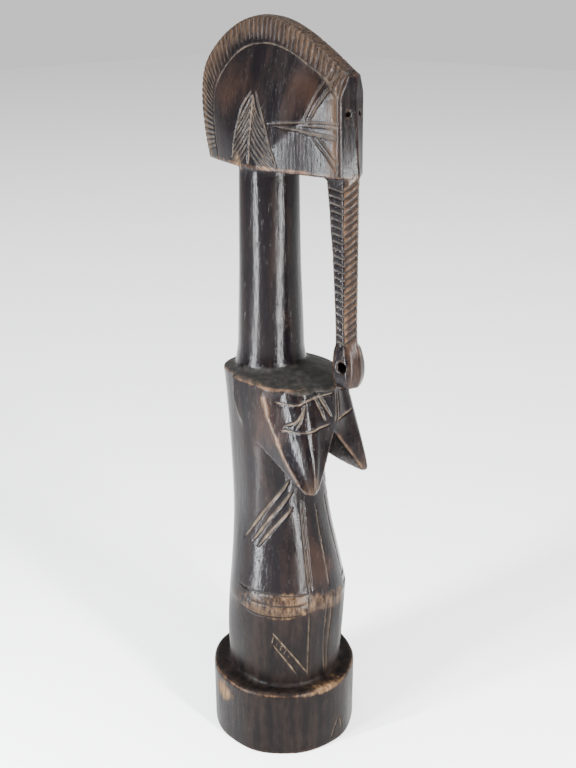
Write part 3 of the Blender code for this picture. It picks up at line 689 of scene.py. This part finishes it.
def on_chest(places):
    """Start points and direction for a line on the chest's front, from x and z in millimetres."""
    path = smooth_path(np.asarray(places) * MM)
    return columns(path[:, 0], -BEFORE, path[:, 1]), BACKWARD


# Radial share of the crest band's inner line, from back (0) to front (1)
CREST_BAND = Track([(0.0, 0.715), (0.22, 0.722), (0.33, 0.757), (0.5, 0.807), (0.62, 0.825), (0.7, 0.840),
                    (0.8, 0.858), (0.9, 0.868), (1.0, 0.900)], 1)
CREST_TRACK_Y, CREST_TRACK_Z = (
    Track([(i / (len(CREST_OUTLINE) - 1), p[c]) for i, p in enumerate(CREST_OUTLINE)], 1) for c in (0, 1))


def band_place(position, share):
    """Place on the head's side at a position along the crest and a radial share."""
    position = min(max(position, 0.0), 1.0)
    y, z = float(CREST_TRACK_Y(np.array(position))), float(CREST_TRACK_Z(np.array(position)))
    return HEAD_CENTRE + (y - HEAD_CENTRE) * share, z * share


def band_share(position):
    """Radial share of the line inside the crest band, back (0) to front (1)."""
    return float(CREST_BAND(np.array(position)))


# Leaf of chevrons: y of rib and edges, top to foot, as shares of the head's height
LEAF_RIB = Track([(0.0, 0.090), (0.20, 0.106), (0.58, 0.097), (1.0, 0.091)], 1)
LEAF_BACK = Track([(0.0, 0.092), (0.27, 0.200), (0.60, 0.249), (1.0, 0.308)], 1)
LEAF_FRONT = Track([(0.0, 0.086), (0.50, -0.047), (1.0, -0.156)], 1)
LEAF_TOP_Z = 0.545
LEAF_FOOT_Z = 0.010
LEAF_CHEVRON_FALL = 0.42


def leaf_place(across, down):
    """Place in the leaf: across runs from back edge (-1) over the rib (0) to front (1)."""
    down = np.array(down)
    edge = float((LEAF_FRONT if across > 0.0 else LEAF_BACK)(down))
    rib = float(LEAF_RIB(down))
    return rib + (edge - rib) * abs(across), LEAF_TOP_Z + (LEAF_FOOT_Z - LEAF_TOP_Z) * float(down)


# Lines on the head: y and z above its underside, as shares of its height
CHEEK_LINES = [
    [(-0.372, 0.348), (-0.452, 0.508), (-0.490, 0.601), (-0.541, 0.695)],
    [(-0.408, 0.350), (-0.506, 0.504), (-0.552, 0.597), (-0.595, 0.682)],
    [(-0.053, 0.314), (-0.378, 0.350), (-0.640, 0.358)],
    [(-0.109, 0.305), (-0.367, 0.292), (-0.640, 0.272)],
    [(-0.407, 0.289), (-0.544, 0.154), (-0.640, 0.036)],
    [(-0.447, 0.300), (-0.562, 0.188), (-0.640, 0.085)],
    [(-0.440, 0.655), (-0.555, 0.590), (-0.632, 0.509)],
]
FACE_EDGE = [(-0.612, 0.625), (-0.618, 0.520), (-0.620, 0.350), (-0.619, 0.180), (-0.622, 0.030)]
CHEEK_DOUBLES = [
    [(-0.330, 0.330), (-0.510, 0.331), (-0.640, 0.329)],
    [(-0.340, 0.283), (-0.510, 0.268), (-0.640, 0.248)],
    [(-0.480, 0.450), (-0.530, 0.520), (-0.565, 0.580)],
]
# Lines round the torso: angle from the front in degrees and share of its height
FLANK_LINES = [
    [(36.6, 0.699), (67.2, 0.607), (101.1, 0.485)],
    [(31.1, 0.667), (59.2, 0.587), (86.7, 0.486)],
    [(33.4, 0.611), (56.4, 0.549), (78.8, 0.472)],
]
HIP_LINES = [
    [(96.8, 0.336), (74.7, 0.332), (53.6, 0.334), (23.6, 0.332)],
    [(93.0, 0.305), (73.7, 0.301), (53.4, 0.299), (24.4, 0.304)],
    [(93.8, 0.270), (73.5, 0.259), (49.3, 0.262), (29.3, 0.270)],
]
LOWER_LINES = [
    [(57.4, 0.203), (40.8, 0.131), (23.6, 0.042)],
    [(57.6, 0.160), (45.5, 0.104), (33.9, 0.042)],
]
LOWER_HATCH = [[(56.0 - 4.0 * i, 0.196 - 0.016 * i), (58.0 - 3.6 * i, 0.158 - 0.013 * i)] for i in range(5)]
UPRIGHT_LINES = [
    [(22.8, 0.628), (22.8, 0.488), (22.4, 0.338)],
    [(18.2, 0.626), (19.2, 0.486), (19.3, 0.338)],
    [(23.1, 0.316), (23.1, 0.169), (23.4, 0.018)],
    [(-2.2, 0.605), (-0.9, 0.468), (-1.0, 0.331)],
    [(2.9, 0.322), (5.0, 0.145), (2.0, 0.007)],
    [(-3.2, 0.322), (-0.5, 0.136), (-0.9, 0.004)],
    [(-27.0, 0.610), (-26.0, 0.460), (-27.0, 0.330)],
    [(-28.0, 0.300), (-29.0, 0.079), (-30.0, 0.006)],
]
# Lines on the base (angle and height) and on the chest (x and z), in millimetres
BASE_LINES = [[(-3.1, 12.2), (2.5, 6.5), (5.0, 2.5)], [(-3.1, 12.2), (-7.6, 4.3)]]
CHEST_LINES = [
    [(-18.4, 159.8), (-15.0, 159.9), (-10.9, 161.5), (0.4, 162.6)],
    [(-18.5, 148.8), (-16.8, 149.4), (-2.3, 150.4)],
    [(0.9, 150.6), (12.6, 152.1)],
    [(-12.4, 160.2), (-18.0, 150.2)],
    [(-12.4, 160.2), (-16.6, 150.6)],
    [(-8.5, 163.2), (-4.9, 151.7)],
    [(-6.8, 163.2), (-1.9, 152.8)],
    [(2.2, 163.0), (0.1, 150.0)],
    [(4.1, 163.0), (2.0, 149.5)],
    [(12.6, 160.6), (17.6, 151.0)],
    [(4.8, 162.2), (16.0, 160.4)],
]


def carve_head(carving, side):
    for i in range(CREST_HATCH_COUNT):
        position = 0.025 + 0.945 * i / (CREST_HATCH_COUNT - 1)
        lean = 0.05 * max(0.0, 1.0 - position / 0.35) + 0.05 * max(0.0, position - 0.45)
        inner = min(position + lean, 1.0)
        places = [band_place(position, 1.0), band_place(inner, band_share(inner) + 0.015)]
        carving.add(*on_head(places, side), width=0.85, depth=0.48, ends=(0.01, 2.0),
                    dust=0.12 + 0.5 * (position < 0.45))
    arc = [band_place(p, band_share(p)) for p in np.linspace(0.0, 1.0, 25)]
    carving.add(*on_head(arc, side), width=0.8, depth=0.45, ends=(1.0, 1.0), dust=0.6)
    chevrons = LEAF_CHEVRONS_RIGHT if side > 0 else LEAF_CHEVRONS_LEFT
    for across in (-1.0, 1.0):
        edge = [leaf_place(across, down) for down in (0.03, 0.25, 0.5, 0.75, 0.98)]
        carving.add(*on_head(edge, side), width=0.85, depth=0.45, dust=0.6)
        for i in range(chevrons):
            start = 0.07 + 0.80 * i / chevrons
            reach = min(0.97, (1.0 - start) / LEAF_CHEVRON_FALL)
            places = [leaf_place(across * share, start + LEAF_CHEVRON_FALL * share)
                      for share in (0.05, 0.5 * reach, reach)]
            carving.add(*on_head(places, side), width=0.85, depth=0.45, ends=(1.0, 1.5), dust=0.55)
    carving.add(*on_head([leaf_place(0.0, down) for down in (0.08, 0.5, 0.98)], side))
    for places in CHEEK_LINES + (CHEEK_DOUBLES if side > 0 else []):
        carving.add(*on_head(places, side), width=0.9, depth=0.45, ends=(5.0, 2.5), dust=0.45)
    carving.add(*on_head(FACE_EDGE, side), width=0.7, depth=0.3, dust=0.0)


def rim_points(position, share):
    """Points across the crest's rim at a radial share, that drift along it."""
    points = []
    for across in np.linspace(-1.0, 1.0, 7):
        y, z = band_place(position + CREST_NICK_LEAN * (across + 1.0) * 0.5, share)
        x = across * CREST_NICK_REACH * CREST_HALF_THICKNESS
        points.append((x, y * HEAD_HEIGHT, HEAD_Z + z * HEAD_HEIGHT))
    return np.array(points)


def carve_rim(carving):
    """Oblique nicks across the crest's rim."""
    for i in range(CREST_NICK_COUNT):
        position = 0.012 + 0.955 * i / (CREST_NICK_COUNT - 1)
        start, end = rim_points(position, 1.12), rim_points(position, 0.9)
        carving.add(start, end - start, width=0.9, depth=0.42, ends=(0.6, 2.2), dust=0.35)


def carve_plait(carving):
    """Strands that fall from the plait's front ridge to its corners and rise again behind them."""
    pitch = (PLAIT_CHEVRON_LAST - PLAIT_CHEVRON_FIRST) / PLAIT_CHEVRON_COUNT
    for i in range(PLAIT_CHEVRON_COUNT):
        share = PLAIT_CHEVRON_FIRST + pitch * i
        half, rear, corner, _ = (float(track(np.array(share))) for track in PLAIT)
        z = HEAD_Z - share * PLAIT_LENGTH
        for side in (-1.0, 1.0):
            across = np.linspace(0.0, 0.97, 7)
            start = columns(side * across * half, -BEFORE, z - PLAIT_CHEVRON_RISE * across ** 0.9)
            carving.add(start, BACKWARD, width=1.35, depth=0.72, ends=(0.01, 0.9), dust=0.0)
            back = np.linspace(0.12, 0.97, 6)
            start = columns(side * BESIDE, corner + (rear - corner) * back,
                            z - PLAIT_CHEVRON_RISE + PLAIT_SIDE_FALL * back)
            inward = np.array([[-side, 0.0, 0.0]])
            carving.add(start, inward, width=0.9, depth=0.42, ends=(0.5, 2.0), dust=0.42)


# Sets of lines on the torso, the sides that they are cut on, and how
TORSO_CUTS = [
    (UPRIGHT_LINES, (1,), dict(width=0.8, depth=0.42, ends=(4.0, 4.0), dust=0.6)),
    (FLANK_LINES, (1, -1), dict(width=1.7, ends=(5.0, 7.0), dust=0.8)),
    (HIP_LINES, (1, -1), dict(ends=(7.0, 3.0), dust=0.15)),
    (LOWER_LINES, (1, -1), dict()),
    (LOWER_HATCH, (1, -1), dict(width=0.6, depth=0.25)),
]


def carve_body(carving):
    for lines, sides, cut in TORSO_CUTS:
        for side in sides:
            for places in lines:
                carving.add(*on_torso([(side * a, s) for a, s in places]), **cut)
    for places in CHEST_LINES:
        carving.add(*on_chest(places), width=1.0, depth=0.5)
    for places in BASE_LINES:
        places = [(a, (z * MM - BASE_HEIGHT) / TORSO_HEIGHT) for a, z in places]
        carving.add(*on_torso(places), width=0.8, depth=0.35)


def breast_arris(side):
    """Points along the outer arris of a breast, from just under the shoulder's rim down."""
    drops = np.linspace(0.05, 1.2, 24)
    x, y = (CHEST[2, part](drops) * CHEST_UNIT for part in (0, 1))
    return columns(-side * x, y, SHOULDER_Z - drops * CHEST_UNIT)


def ring(side, first, last, count, z):
    """Start points and directions for a level line round one side, between two angles."""
    turns = np.radians(side * np.linspace(first, last, count))
    return columns(0.0 * turns, 0.0, z), columns(-np.sin(turns), -np.cos(turns), 0.0)


def rub_edges_and_paint_highlight():
    """Edges that hands have rubbed through the patina to the brown wood, and a painted highlight along the
    head's bottom edge.
    """
    rubbed = Carving()
    for side in (1, -1):
        edge = breast_arris(side) + np.array([[-side * 3.0 * MM, -4.0 * MM, 0.0]])
        rubbed.add(edge, np.array([[side * 0.6, 0.8, 0.0]]), width=3.4)
        rubbed.add(*on_head([(-0.608, 0.600), (-0.614, 0.350), (-0.616, 0.030)], side), width=2.2)
        # Lighter line along the bottom edge of each side of the head: a painted highlight, not wear.
        underside = [(y, 0.020) for y in (0.600, 0.200, -0.200, -0.600)]
        rubbed.add(*on_head(underside, side), width=1.8)
        down = np.linspace(0.02, 0.80, 30)
        half, corner = PLAIT[0](down), PLAIT[2](down)
        start = columns(-side * (half + 2.0 * MM), corner - 2.0 * MM, HEAD_Z - down * PLAIT_LENGTH)
        rubbed.add(start, np.array([[side * 0.7, 0.7, 0.0]]), width=2.0)
        rubbed.add(*ring(side, 20.0, 150.0, 40, SHOULDER_Z + 1.0 * MM), width=1.7)
        rubbed.add(*ring(side, -5.0, 175.0, 60, BASE_HEIGHT - 1.0 * MM), width=1.4)
    rubbed.settle()
    return rubbed


def build_doll():
    """Vertices, faces, and each vertex's bend, groove, dustiness and rubbing; the rubbing also holds a
    painted highlight along the head's bottom edge.
    """
    carving = Carving()
    for side in (1, -1):
        carve_head(carving, side)
    carve_rim(carving)
    carve_plait(carving)
    carve_body(carving)
    carving.settle()
    vertices, faces = surface_net(GRID_STEP)
    vertices, _ = project(vertices)
    vertices = relax(vertices, faces)
    near = NearGrid()
    for points, width, _, _, _ in carving.lines:
        near.mark(points, 0.5 * width + 0.35 * MM, FINE_EDGE)
    eye_z = HEAD_Z + EYE_HEIGHT_SHARE * HEAD_HEIGHT
    for side in (-1.0, 1.0):
        near.mark(np.array([(side * EYE_OFFSET, y, eye_z) for y in np.arange(-38.0, -32.0, 0.5) * MM]),
                  1.6 * MM, FINE_EDGE)
    sharp = bend_of(vertices, faces) > ARRIS_BEND
    near.mark(vertices[sharp], 1.0 * MM, ARRIS_EDGE)
    for _ in range(7):
        before = len(vertices)
        vertices, faces, added = split_long_edges(vertices, faces, near)
        if added == 0:
            break
        vertices[before:], _ = project(vertices[before:], rounds=1)
    vertices, normals = project(vertices, rounds=1)
    bend = bend_of(vertices, faces, normals)
    depth, groove, dusty = carving.depth_at(vertices)
    rubbed = rub_edges_and_paint_highlight().depth_at(vertices)[1]
    return vertices - normals * depth[:, None], faces, bend, groove, dusty, rubbed


def bend_of(vertices, faces, normals=None):
    """Signed bend of the surface at each vertex: above zero on an arris, below in a hollow."""
    if normals is None:
        _, normals = project(vertices, rounds=0)
    edges, _ = edge_list(faces)
    a, b = edges[:, 0], edges[:, 1]
    run = vertices[b] - vertices[a]
    length = np.maximum(np.linalg.norm(run, axis=1), 1e-7)
    turn = ((normals[b] - normals[a]) * run).sum(axis=1) / length
    total = np.bincount(a, turn, len(vertices)) + np.bincount(b, turn, len(vertices))
    count = np.bincount(edges.ravel(), minlength=len(vertices))
    return total / np.maximum(count, 1)


class NearGrid:
    """Wanted edge length in small cells of space."""

    def __init__(self, cell=0.7 * MM):
        self.cell = cell
        self.low = np.array([-34.0, -46.0, -4.0]) * MM
        self.wanted = np.full((98, 130, 440), COARSE_EDGE)

    def cells(self, points):
        spot = np.floor((points - self.low) / self.cell).astype(int)
        return np.clip(spot, 0, np.array(self.wanted.shape) - 1)

    def mark(self, points, radius, length):
        steps = np.arange(-radius, radius + 0.4 * self.cell, 0.5 * self.cell)
        offsets = np.stack(np.meshgrid(steps, steps, steps, indexing="ij"), axis=-1).reshape(-1, 3)
        offsets = offsets[np.linalg.norm(offsets, axis=1) <= radius * 1.01]
        if 1 < len(points) < 400:
            points = np.concatenate([points, 0.5 * (points[1:] + points[:-1])])
        for offset in offsets:
            spot = tuple(self.cells(points + offset).T)
            self.wanted[spot] = np.minimum(self.wanted[spot], length)

    def __call__(self, points):
        return self.wanted[tuple(self.cells(points).T)]


def spot_mask(vertices, places):
    """Soft patches, each given by a middle and reaches along x, y and z in millimetres."""
    mask = np.zeros(len(vertices))
    for middle, reach in places:
        gap = (vertices / MM - np.array(middle)) / np.array(reach)
        mask = np.maximum(mask, np.exp(-(gap ** 2).sum(axis=1)))
    return mask


# Patches of bare wood, dark rims of holes, and browner skin: middle and reaches
# in millimetres. Between them, the height of the rubbed band on the hips' ridge.
BARE_PATCHES = [
    ((-12.0, 11.5, 248.5), (5.0, 3.4, 6.0)),
    ((-29.0, 8.0, 23.0), (6.0, 8.0, 6.0)),
    ((-6.0, -30.0, 29.5), (14.0, 8.0, 2.2)),
    ((0.0, 24.0, 98.0), (9.0, 6.0, 16.0)),
]
DARK_RIMS = [((s * 3.1, -38.0, 269.4), (2.2, 4.0, 2.2)) for s in (-1, 1)]
DARK_RIMS += [((s * 5.0, -35.4, 176.0), (2.5, 3.4, 3.4)) for s in (-1, 1)]
HIP_BAND_LOW = 66.0 * MM
HIP_BAND_HIGH = 73.5 * MM
HIP_BAND_BARENESS = 0.64
BROWN_PATCHES = [
    ((-10.0, 18.0, 278.0), (8.0, 16.0, 16.0)),
    ((-10.0, -20.0, 277.0), (8.0, 12.0, 14.0)),
    ((-6.0, -12.0, 205.0), (7.0, 6.0, 40.0)),
    ((-14.0, -20.0, 68.0), (14.0, 22.0, 9.0)),
    ((-24.0, 6.0, 68.0), (8.0, 16.0, 9.0)),
    ((0.0, -24.0, 95.0), (10.0, 8.0, 18.0)),
    ((-20.0, -8.0, 150.0), (5.0, 14.0, 14.0)),
]


def warm_zone(vertices):
    """Where handling has worn the patina to copper brown: the plait's front and the crest."""
    _, y, z = vertices.T
    down = (HEAD_Z - z) / PLAIT_LENGTH
    plait = smooth_step(1.4 * MM, 0.2 * MM, y - PLAIT[2](down))
    plait = plait * (z < HEAD_Z + 1.0 * MM) * (z > HEAD_Z - PLAIT_LENGTH - 1.0 * MM)
    plait = plait * (1.0 - 0.5 * smooth_step(0.80, 0.86, down))
    band = smooth_step(0.84, 0.93, radial_share(y, z - HEAD_Z)) * (z - HEAD_Z > 0.0)
    band = band * smooth_step(-0.66 * HEAD_HEIGHT, -0.60 * HEAD_HEIGHT, y)
    tips = spot_mask(vertices, [((s * 15.9, -31.5, 126.5), (4.0, 4.5, 4.0)) for s in (-1, 1)])
    return np.clip(plait + 0.8 * band + 0.7 * tips, 0.0, 1.0)


def plate_zone(vertices):
    """The shoulders' top, apart from the neck."""
    x, y, z = vertices.T
    from_neck = smooth_step(13.0 * MM, 15.0 * MM, np.hypot(x, y - NECK_SETBACK))
    return (np.abs(z - dome_height(x, y)) < 0.9 * MM) * from_neck


def matt_zone(vertices):
    """Where the patina is dull: below the hips, on the base and on the shoulders' top."""
    low = 1.0 - smooth_step(62.0 * MM, 76.0 * MM, vertices[:, 2])
    return np.clip(0.85 * low + plate_zone(vertices), 0.0, 1.0)


def hip_zone(vertices):
    """The rubbed band around the hips' ridge, broad in front and dying out behind."""
    x, y, z = vertices.T
    angle = np.degrees(np.arctan2(-x, -y))
    low = HIP_BAND_LOW + 1.2 * MM * np.sin(np.radians(5.0 * angle))
    high = HIP_BAND_HIGH + 1.6 * MM * np.cos(np.radians(3.0 * (angle - 45.0)))
    band = smooth_step(low - 2.0 * MM, low, z) * smooth_step(high + 4.0 * MM, high, z)
    band = band * (0.88 + 0.12 * np.cos(np.radians(2.0 * (angle - 50.0))))
    return band * smooth_step(125.0, 75.0, np.abs(angle - 5.0))


def smooth_over(values, faces, rounds):
    """Vertex values, each mixed with its neighbours' mean."""
    edges, _ = edge_list(faces)
    for _ in range(rounds):
        values = 0.5 * values + 0.5 * neighbour_mean(values, edges)
    return values


# Colours of the finish, each as a darker and a lighter tone
TONES = {
    "dark": ((0.0022, 0.0016, 0.0020), (0.0060, 0.0036, 0.0032)),
    "grey": ((0.0030, 0.0024, 0.0022), (0.0092, 0.0066, 0.0051)),
    "slate": ((0.0095, 0.0092, 0.0085), (0.0190, 0.0180, 0.0165)),
    "worn": ((0.018, 0.010, 0.0065), (0.068, 0.038, 0.021)),
    "copper": ((0.011, 0.0068, 0.0050), (0.046, 0.0275, 0.0160)),
    "tan": ((0.045, 0.024, 0.012), (0.130, 0.078, 0.040)),
    "dust": ((0.022, 0.016, 0.011), (0.085, 0.062, 0.042)),
}
BLUSH = (0.0160, 0.0080, 0.0054, 1.0)
COPPER_SHADE = (0.014, 0.007, 0.006, 1.0)
CLEAN_GROOVE = (0.0045, 0.0030, 0.0025, 1.0)


class Graph:
    """Short calls for building a shader's node tree."""

    def __init__(self, material):
        material.use_nodes = True
        self.tree = material.node_tree
        self.tree.nodes.clear()

    def add(self, kind, inputs=None, **settings):
        node = self.tree.nodes.new(kind)
        for name, value in settings.items():
            setattr(node, name, value)
        for key, value in (inputs or {}).items():
            if isinstance(value, bpy.types.NodeSocket):
                self.tree.links.new(value, node.inputs[key])
            else:
                node.inputs[key].default_value = value
        return node

    def math(self, operation, a, b=0.0, clamp=False):
        return self.add("ShaderNodeMath", {0: a, 1: b}, operation=operation, use_clamp=clamp).outputs[0]

    def times(self, a, b, clamp=False):
        return self.math("MULTIPLY", a, b, clamp)

    def plus(self, total, *terms):
        for term in terms:
            total = self.math("ADD", total, term)
        return total

    def about_zero(self, noise, strength):
        return self.times(self.math("SUBTRACT", noise, 0.5), strength)

    def mix(self, factor, a, b):
        return self.add("ShaderNodeMix", {0: factor, 6: a, 7: b}, data_type="RGBA").outputs[2]

    def tone(self, name, noise, low, high):
        darker, lighter = TONES[name]
        return self.mix(self.between(noise, low, high), colour(*darker), colour(*lighter))

    def between(self, value, low, high, start=0.0, end=1.0):
        inputs = {"Value": value, "From Min": low, "From Max": high, "To Min": start, "To Max": end}
        node = self.add("ShaderNodeMapRange", inputs, interpolation_type="SMOOTHSTEP")
        return node.outputs[0]

    def noise(self, place, stretch, scale, detail=4.0, roughness=0.55, distortion=0.0):
        moved = self.add("ShaderNodeMapping", {"Vector": place, "Scale": stretch}).outputs[0]
        inputs = {"Vector": moved, "Scale": scale, "Detail": detail, "Roughness": roughness,
                  "Distortion": distortion}
        return self.add("ShaderNodeTexNoise", inputs).outputs["Fac"]

    def layer(self, name):
        return self.add("ShaderNodeAttribute", attribute_name=name).outputs["Fac"]


def colour(r, g, b):
    return (r, g, b, 1.0)


def patina_material():
    """Polished dark wood, worn, rubbed and dusty where the mesh's layers say so; the rubbed layer also paints
    a highlight on the head's bottom edge.
    """
    material = bpy.data.materials.new("patinated_wood_dressed")
    g = Graph(material)
    place = g.add("ShaderNodeTexCoord").outputs["Object"]
    groove, dusty, wear, bare, warm, matt, brown = (
        g.layer(name) for name in ("groove", "dusty", "wear", "bare", "warm", "matt", "brown"))

    streak = g.noise(place, (1.0, 1.0, 0.10), 260.0, 6.0, 0.6)
    fibre = g.noise(place, (1.0, 1.0, 0.045), 1100.0, 4.0, 0.6)
    cloud = g.noise(place, (1.0, 1.0, 0.45), 55.0, 5.0, 0.6, 0.4)
    fleck = g.noise(place, (1.0, 1.0, 0.5), 420.0, 5.0, 0.65)

    dark = g.tone("dark", streak, 0.40, 0.72)
    blush = g.plus(cloud, g.times(brown, 0.25), g.times(fleck, 0.15))
    dark = g.mix(g.between(blush, 0.66, 0.96, 0.0, 0.75), dark, BLUSH)
    grain = g.plus(g.times(fleck, 0.45), g.times(streak, 0.55))
    skin = g.mix(g.times(matt, 0.75), dark, g.tone("grey", grain, 0.40, 0.62))
    skin = g.mix(g.times(g.layer("plate"), 0.85), skin, g.tone("slate", fleck, 0.40, 0.64))

    # The rubbed layer lightens worn edges and also paints a highlight along the head's bottom edge.
    rubbed = g.plus(g.layer("rubbed"), g.about_zero(fleck, 1.1), g.about_zero(cloud, 1.3))
    edge = g.times(wear, g.between(fleck, 0.36, 0.60), clamp=True)
    edge = g.math("MAXIMUM", g.times(edge, 0.8), g.between(rubbed, 0.35, 0.85))
    skin = g.mix(edge, skin, g.tone("worn", streak, 0.34, 0.66))
    copper = g.tone("copper", fibre, 0.32, 0.68)
    copper = g.mix(g.between(cloud, 0.44, 0.64, 0.0, 0.60), copper, COPPER_SHADE)
    skin = g.mix(g.times(warm, g.between(fleck, 0.22, 0.58, 0.35, 0.95)), skin, copper)

    patch = g.between(g.plus(bare, g.about_zero(fleck, 0.9), g.about_zero(cloud, 0.9)), 0.45, 0.95)
    skin = g.mix(g.times(patch, 0.80), skin, g.tone("tan", fibre, 0.35, 0.65))

    in_groove = g.between(groove, 0.25, 0.70)
    dust = g.mix(g.between(dusty, 0.0, 0.9), CLEAN_GROOVE, g.tone("dust", fleck, 0.35, 0.65))
    skin = g.mix(g.times(in_groove, 0.85), skin, dust)

    rough = g.plus(g.between(streak, 0.30, 0.70, 0.09, 0.20), g.between(cloud, 0.45, 0.70, 0.0, 0.09),
                   g.times(matt, 0.26), g.times(g.layer("satin"), 0.09), g.times(patch, 0.25),
                   g.times(in_groove, 0.30))
    rough = g.math("MINIMUM", rough, 0.85)

    pores = g.noise(place, (1.0, 1.0, 0.16), 1500.0, 3.0, 0.5)
    pits = g.times(g.between(pores, 0.62, 0.74), -1.0)
    relief = g.plus(g.times(fibre, 0.25), g.times(pits, 0.30), g.times(streak, 0.80), g.times(fleck, 0.45))
    bump = g.add("ShaderNodeBump", {"Height": relief, "Strength": 0.5, "Distance": 0.00038})

    sheen = g.between(matt, 0.0, 0.9, 0.11, 0.05)
    shader = g.add("ShaderNodeBsdfPrincipled", {"Base Color": skin, "Roughness": rough,
                                                "Normal": bump.outputs[0], "IOR": 1.48,
                                                "Specular IOR Level": sheen})
    g.add("ShaderNodeOutputMaterial", {"Surface": shader.outputs[0]})
    return material


def floor_material():
    material = bpy.data.materials.new("pale_floor")
    g = Graph(material)
    shader = g.add("ShaderNodeBsdfPrincipled", {"Base Color": colour(0.95, 0.95, 0.95), "Roughness": 0.9})
    g.add("ShaderNodeOutputMaterial", {"Surface": shader.outputs[0]})
    return material


def mesh_object(name, vertices, faces, layers=None):
    mesh = bpy.data.meshes.new(name)
    mesh.from_pydata(vertices.tolist(), [], faces.tolist())
    for layer, values in (layers or {}).items():
        mesh.attributes.new(layer, "FLOAT", "POINT").data.foreach_set("value", values.astype(np.float32))
    mesh.shade_smooth()
    thing = bpy.data.objects.new(name, mesh)
    bpy.context.scene.collection.objects.link(thing)
    return thing


def add_doll():
    vertices, faces, bend, groove, dusty, rubbed = build_doll()
    bend = smooth_over(bend, faces, 2)
    layers = {
        "groove": groove,
        "dusty": smooth_over(dusty, faces, 1),
        "rubbed": smooth_over(rubbed, faces, 2),
        "wear": smooth_step(0.10, 0.34, bend) * (1.0 - spot_mask(vertices, DARK_RIMS)),
        "bare": np.maximum(spot_mask(vertices, BARE_PATCHES), HIP_BAND_BARENESS * hip_zone(vertices)),
        "warm": warm_zone(vertices),
        "matt": matt_zone(vertices),
        "plate": plate_zone(vertices),
        "satin": 1.0 * (vertices[:, 2] > HEAD_Z),
        "brown": spot_mask(vertices, BROWN_PATCHES),
    }
    doll = mesh_object("carved_doll", vertices, faces, layers)
    doll.data.materials.append(patina_material())
    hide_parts("doll")
    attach(doll, "root")


FLOOR_HALF = 3.0


def add_floor():
    corners = np.array([(-1, -1, 0), (1, -1, 0), (1, 1, 0), (-1, 1, 0)]) * FLOOR_HALF
    floor = mesh_object("floor", corners, np.array([[0, 1, 2], [0, 2, 3]]))
    floor.data.materials.append(floor_material())


# Camera fitted to the photo: place, axes and focal length
CAMERA_PLACE = (-0.29609, -0.28193, 0.31603)
CAMERA_RIGHT = (0.68432, -0.72917, -0.00407)
CAMERA_UP = (0.26414, 0.24268, 0.93346)
CAMERA_AHEAD = (0.67966, 0.63986, -0.35867)
FOCAL_PIXELS = 1083.78
SENSOR_HEIGHT = 36.0


def add_camera():
    data = bpy.data.cameras.new("camera")
    data.sensor_fit = "VERTICAL"
    data.sensor_height = SENSOR_HEIGHT
    data.lens = FOCAL_PIXELS * SENSOR_HEIGHT / IMAGE_HEIGHT
    data.clip_start = 0.01
    camera = bpy.data.objects.new("camera", data)
    turn = Matrix((CAMERA_RIGHT, CAMERA_UP, [-v for v in CAMERA_AHEAD])).transposed()
    camera.matrix_world = Matrix.Translation(CAMERA_PLACE) @ turn.to_4x4()
    bpy.context.scene.collection.objects.link(camera)
    bpy.context.scene.camera = camera


# Area lamps: place, width and height in metres, watts and tint
LAMPS = {
    "window": ((-1.25, 0.15, 0.75), (0.14, 1.1), 36.0, (0.90, 0.95, 1.0)),
    "front": ((-0.10, -1.3, 0.75), (0.14, 1.1), 32.0, (1.0, 0.99, 0.97)),
    "above": ((-0.2, -0.1, 1.8), (1.2, 1.2), 46.0, (1.0, 1.0, 1.0)),
    "low_left": ((-0.31, 0.08, 0.16), (0.020, 0.30), 5.2, (0.93, 0.96, 1.0)),
    "low_front": ((-0.058, -0.315, 0.16), (0.015, 0.30), 4.2, (1.0, 1.0, 1.0)),
}
LAMP_AIM = (0.0, 0.0, 0.16)
WORLD_STRENGTH = 0.85


def add_light():
    world = bpy.data.worlds.new("studio")
    world.use_nodes = True
    background = world.node_tree.nodes["Background"]
    background.inputs["Color"].default_value = colour(1.0, 1.0, 1.0)
    background.inputs["Strength"].default_value = WORLD_STRENGTH
    bpy.context.scene.world = world
    for name, (place, size, power, tint) in LAMPS.items():
        data = bpy.data.lights.new(name, "AREA")
        data.shape = "RECTANGLE"
        data.size, data.size_y = size
        data.energy = power
        data.color = tint
        lamp = bpy.data.objects.new(name, data)
        lamp.location = place
        aim = Vector(LAMP_AIM) - Vector(place)
        lamp.rotation_euler = aim.to_track_quat("-Z", "Y").to_euler()
        bpy.context.scene.collection.objects.link(lamp)


add_camera()
add_light()
add_floor()
add_doll()
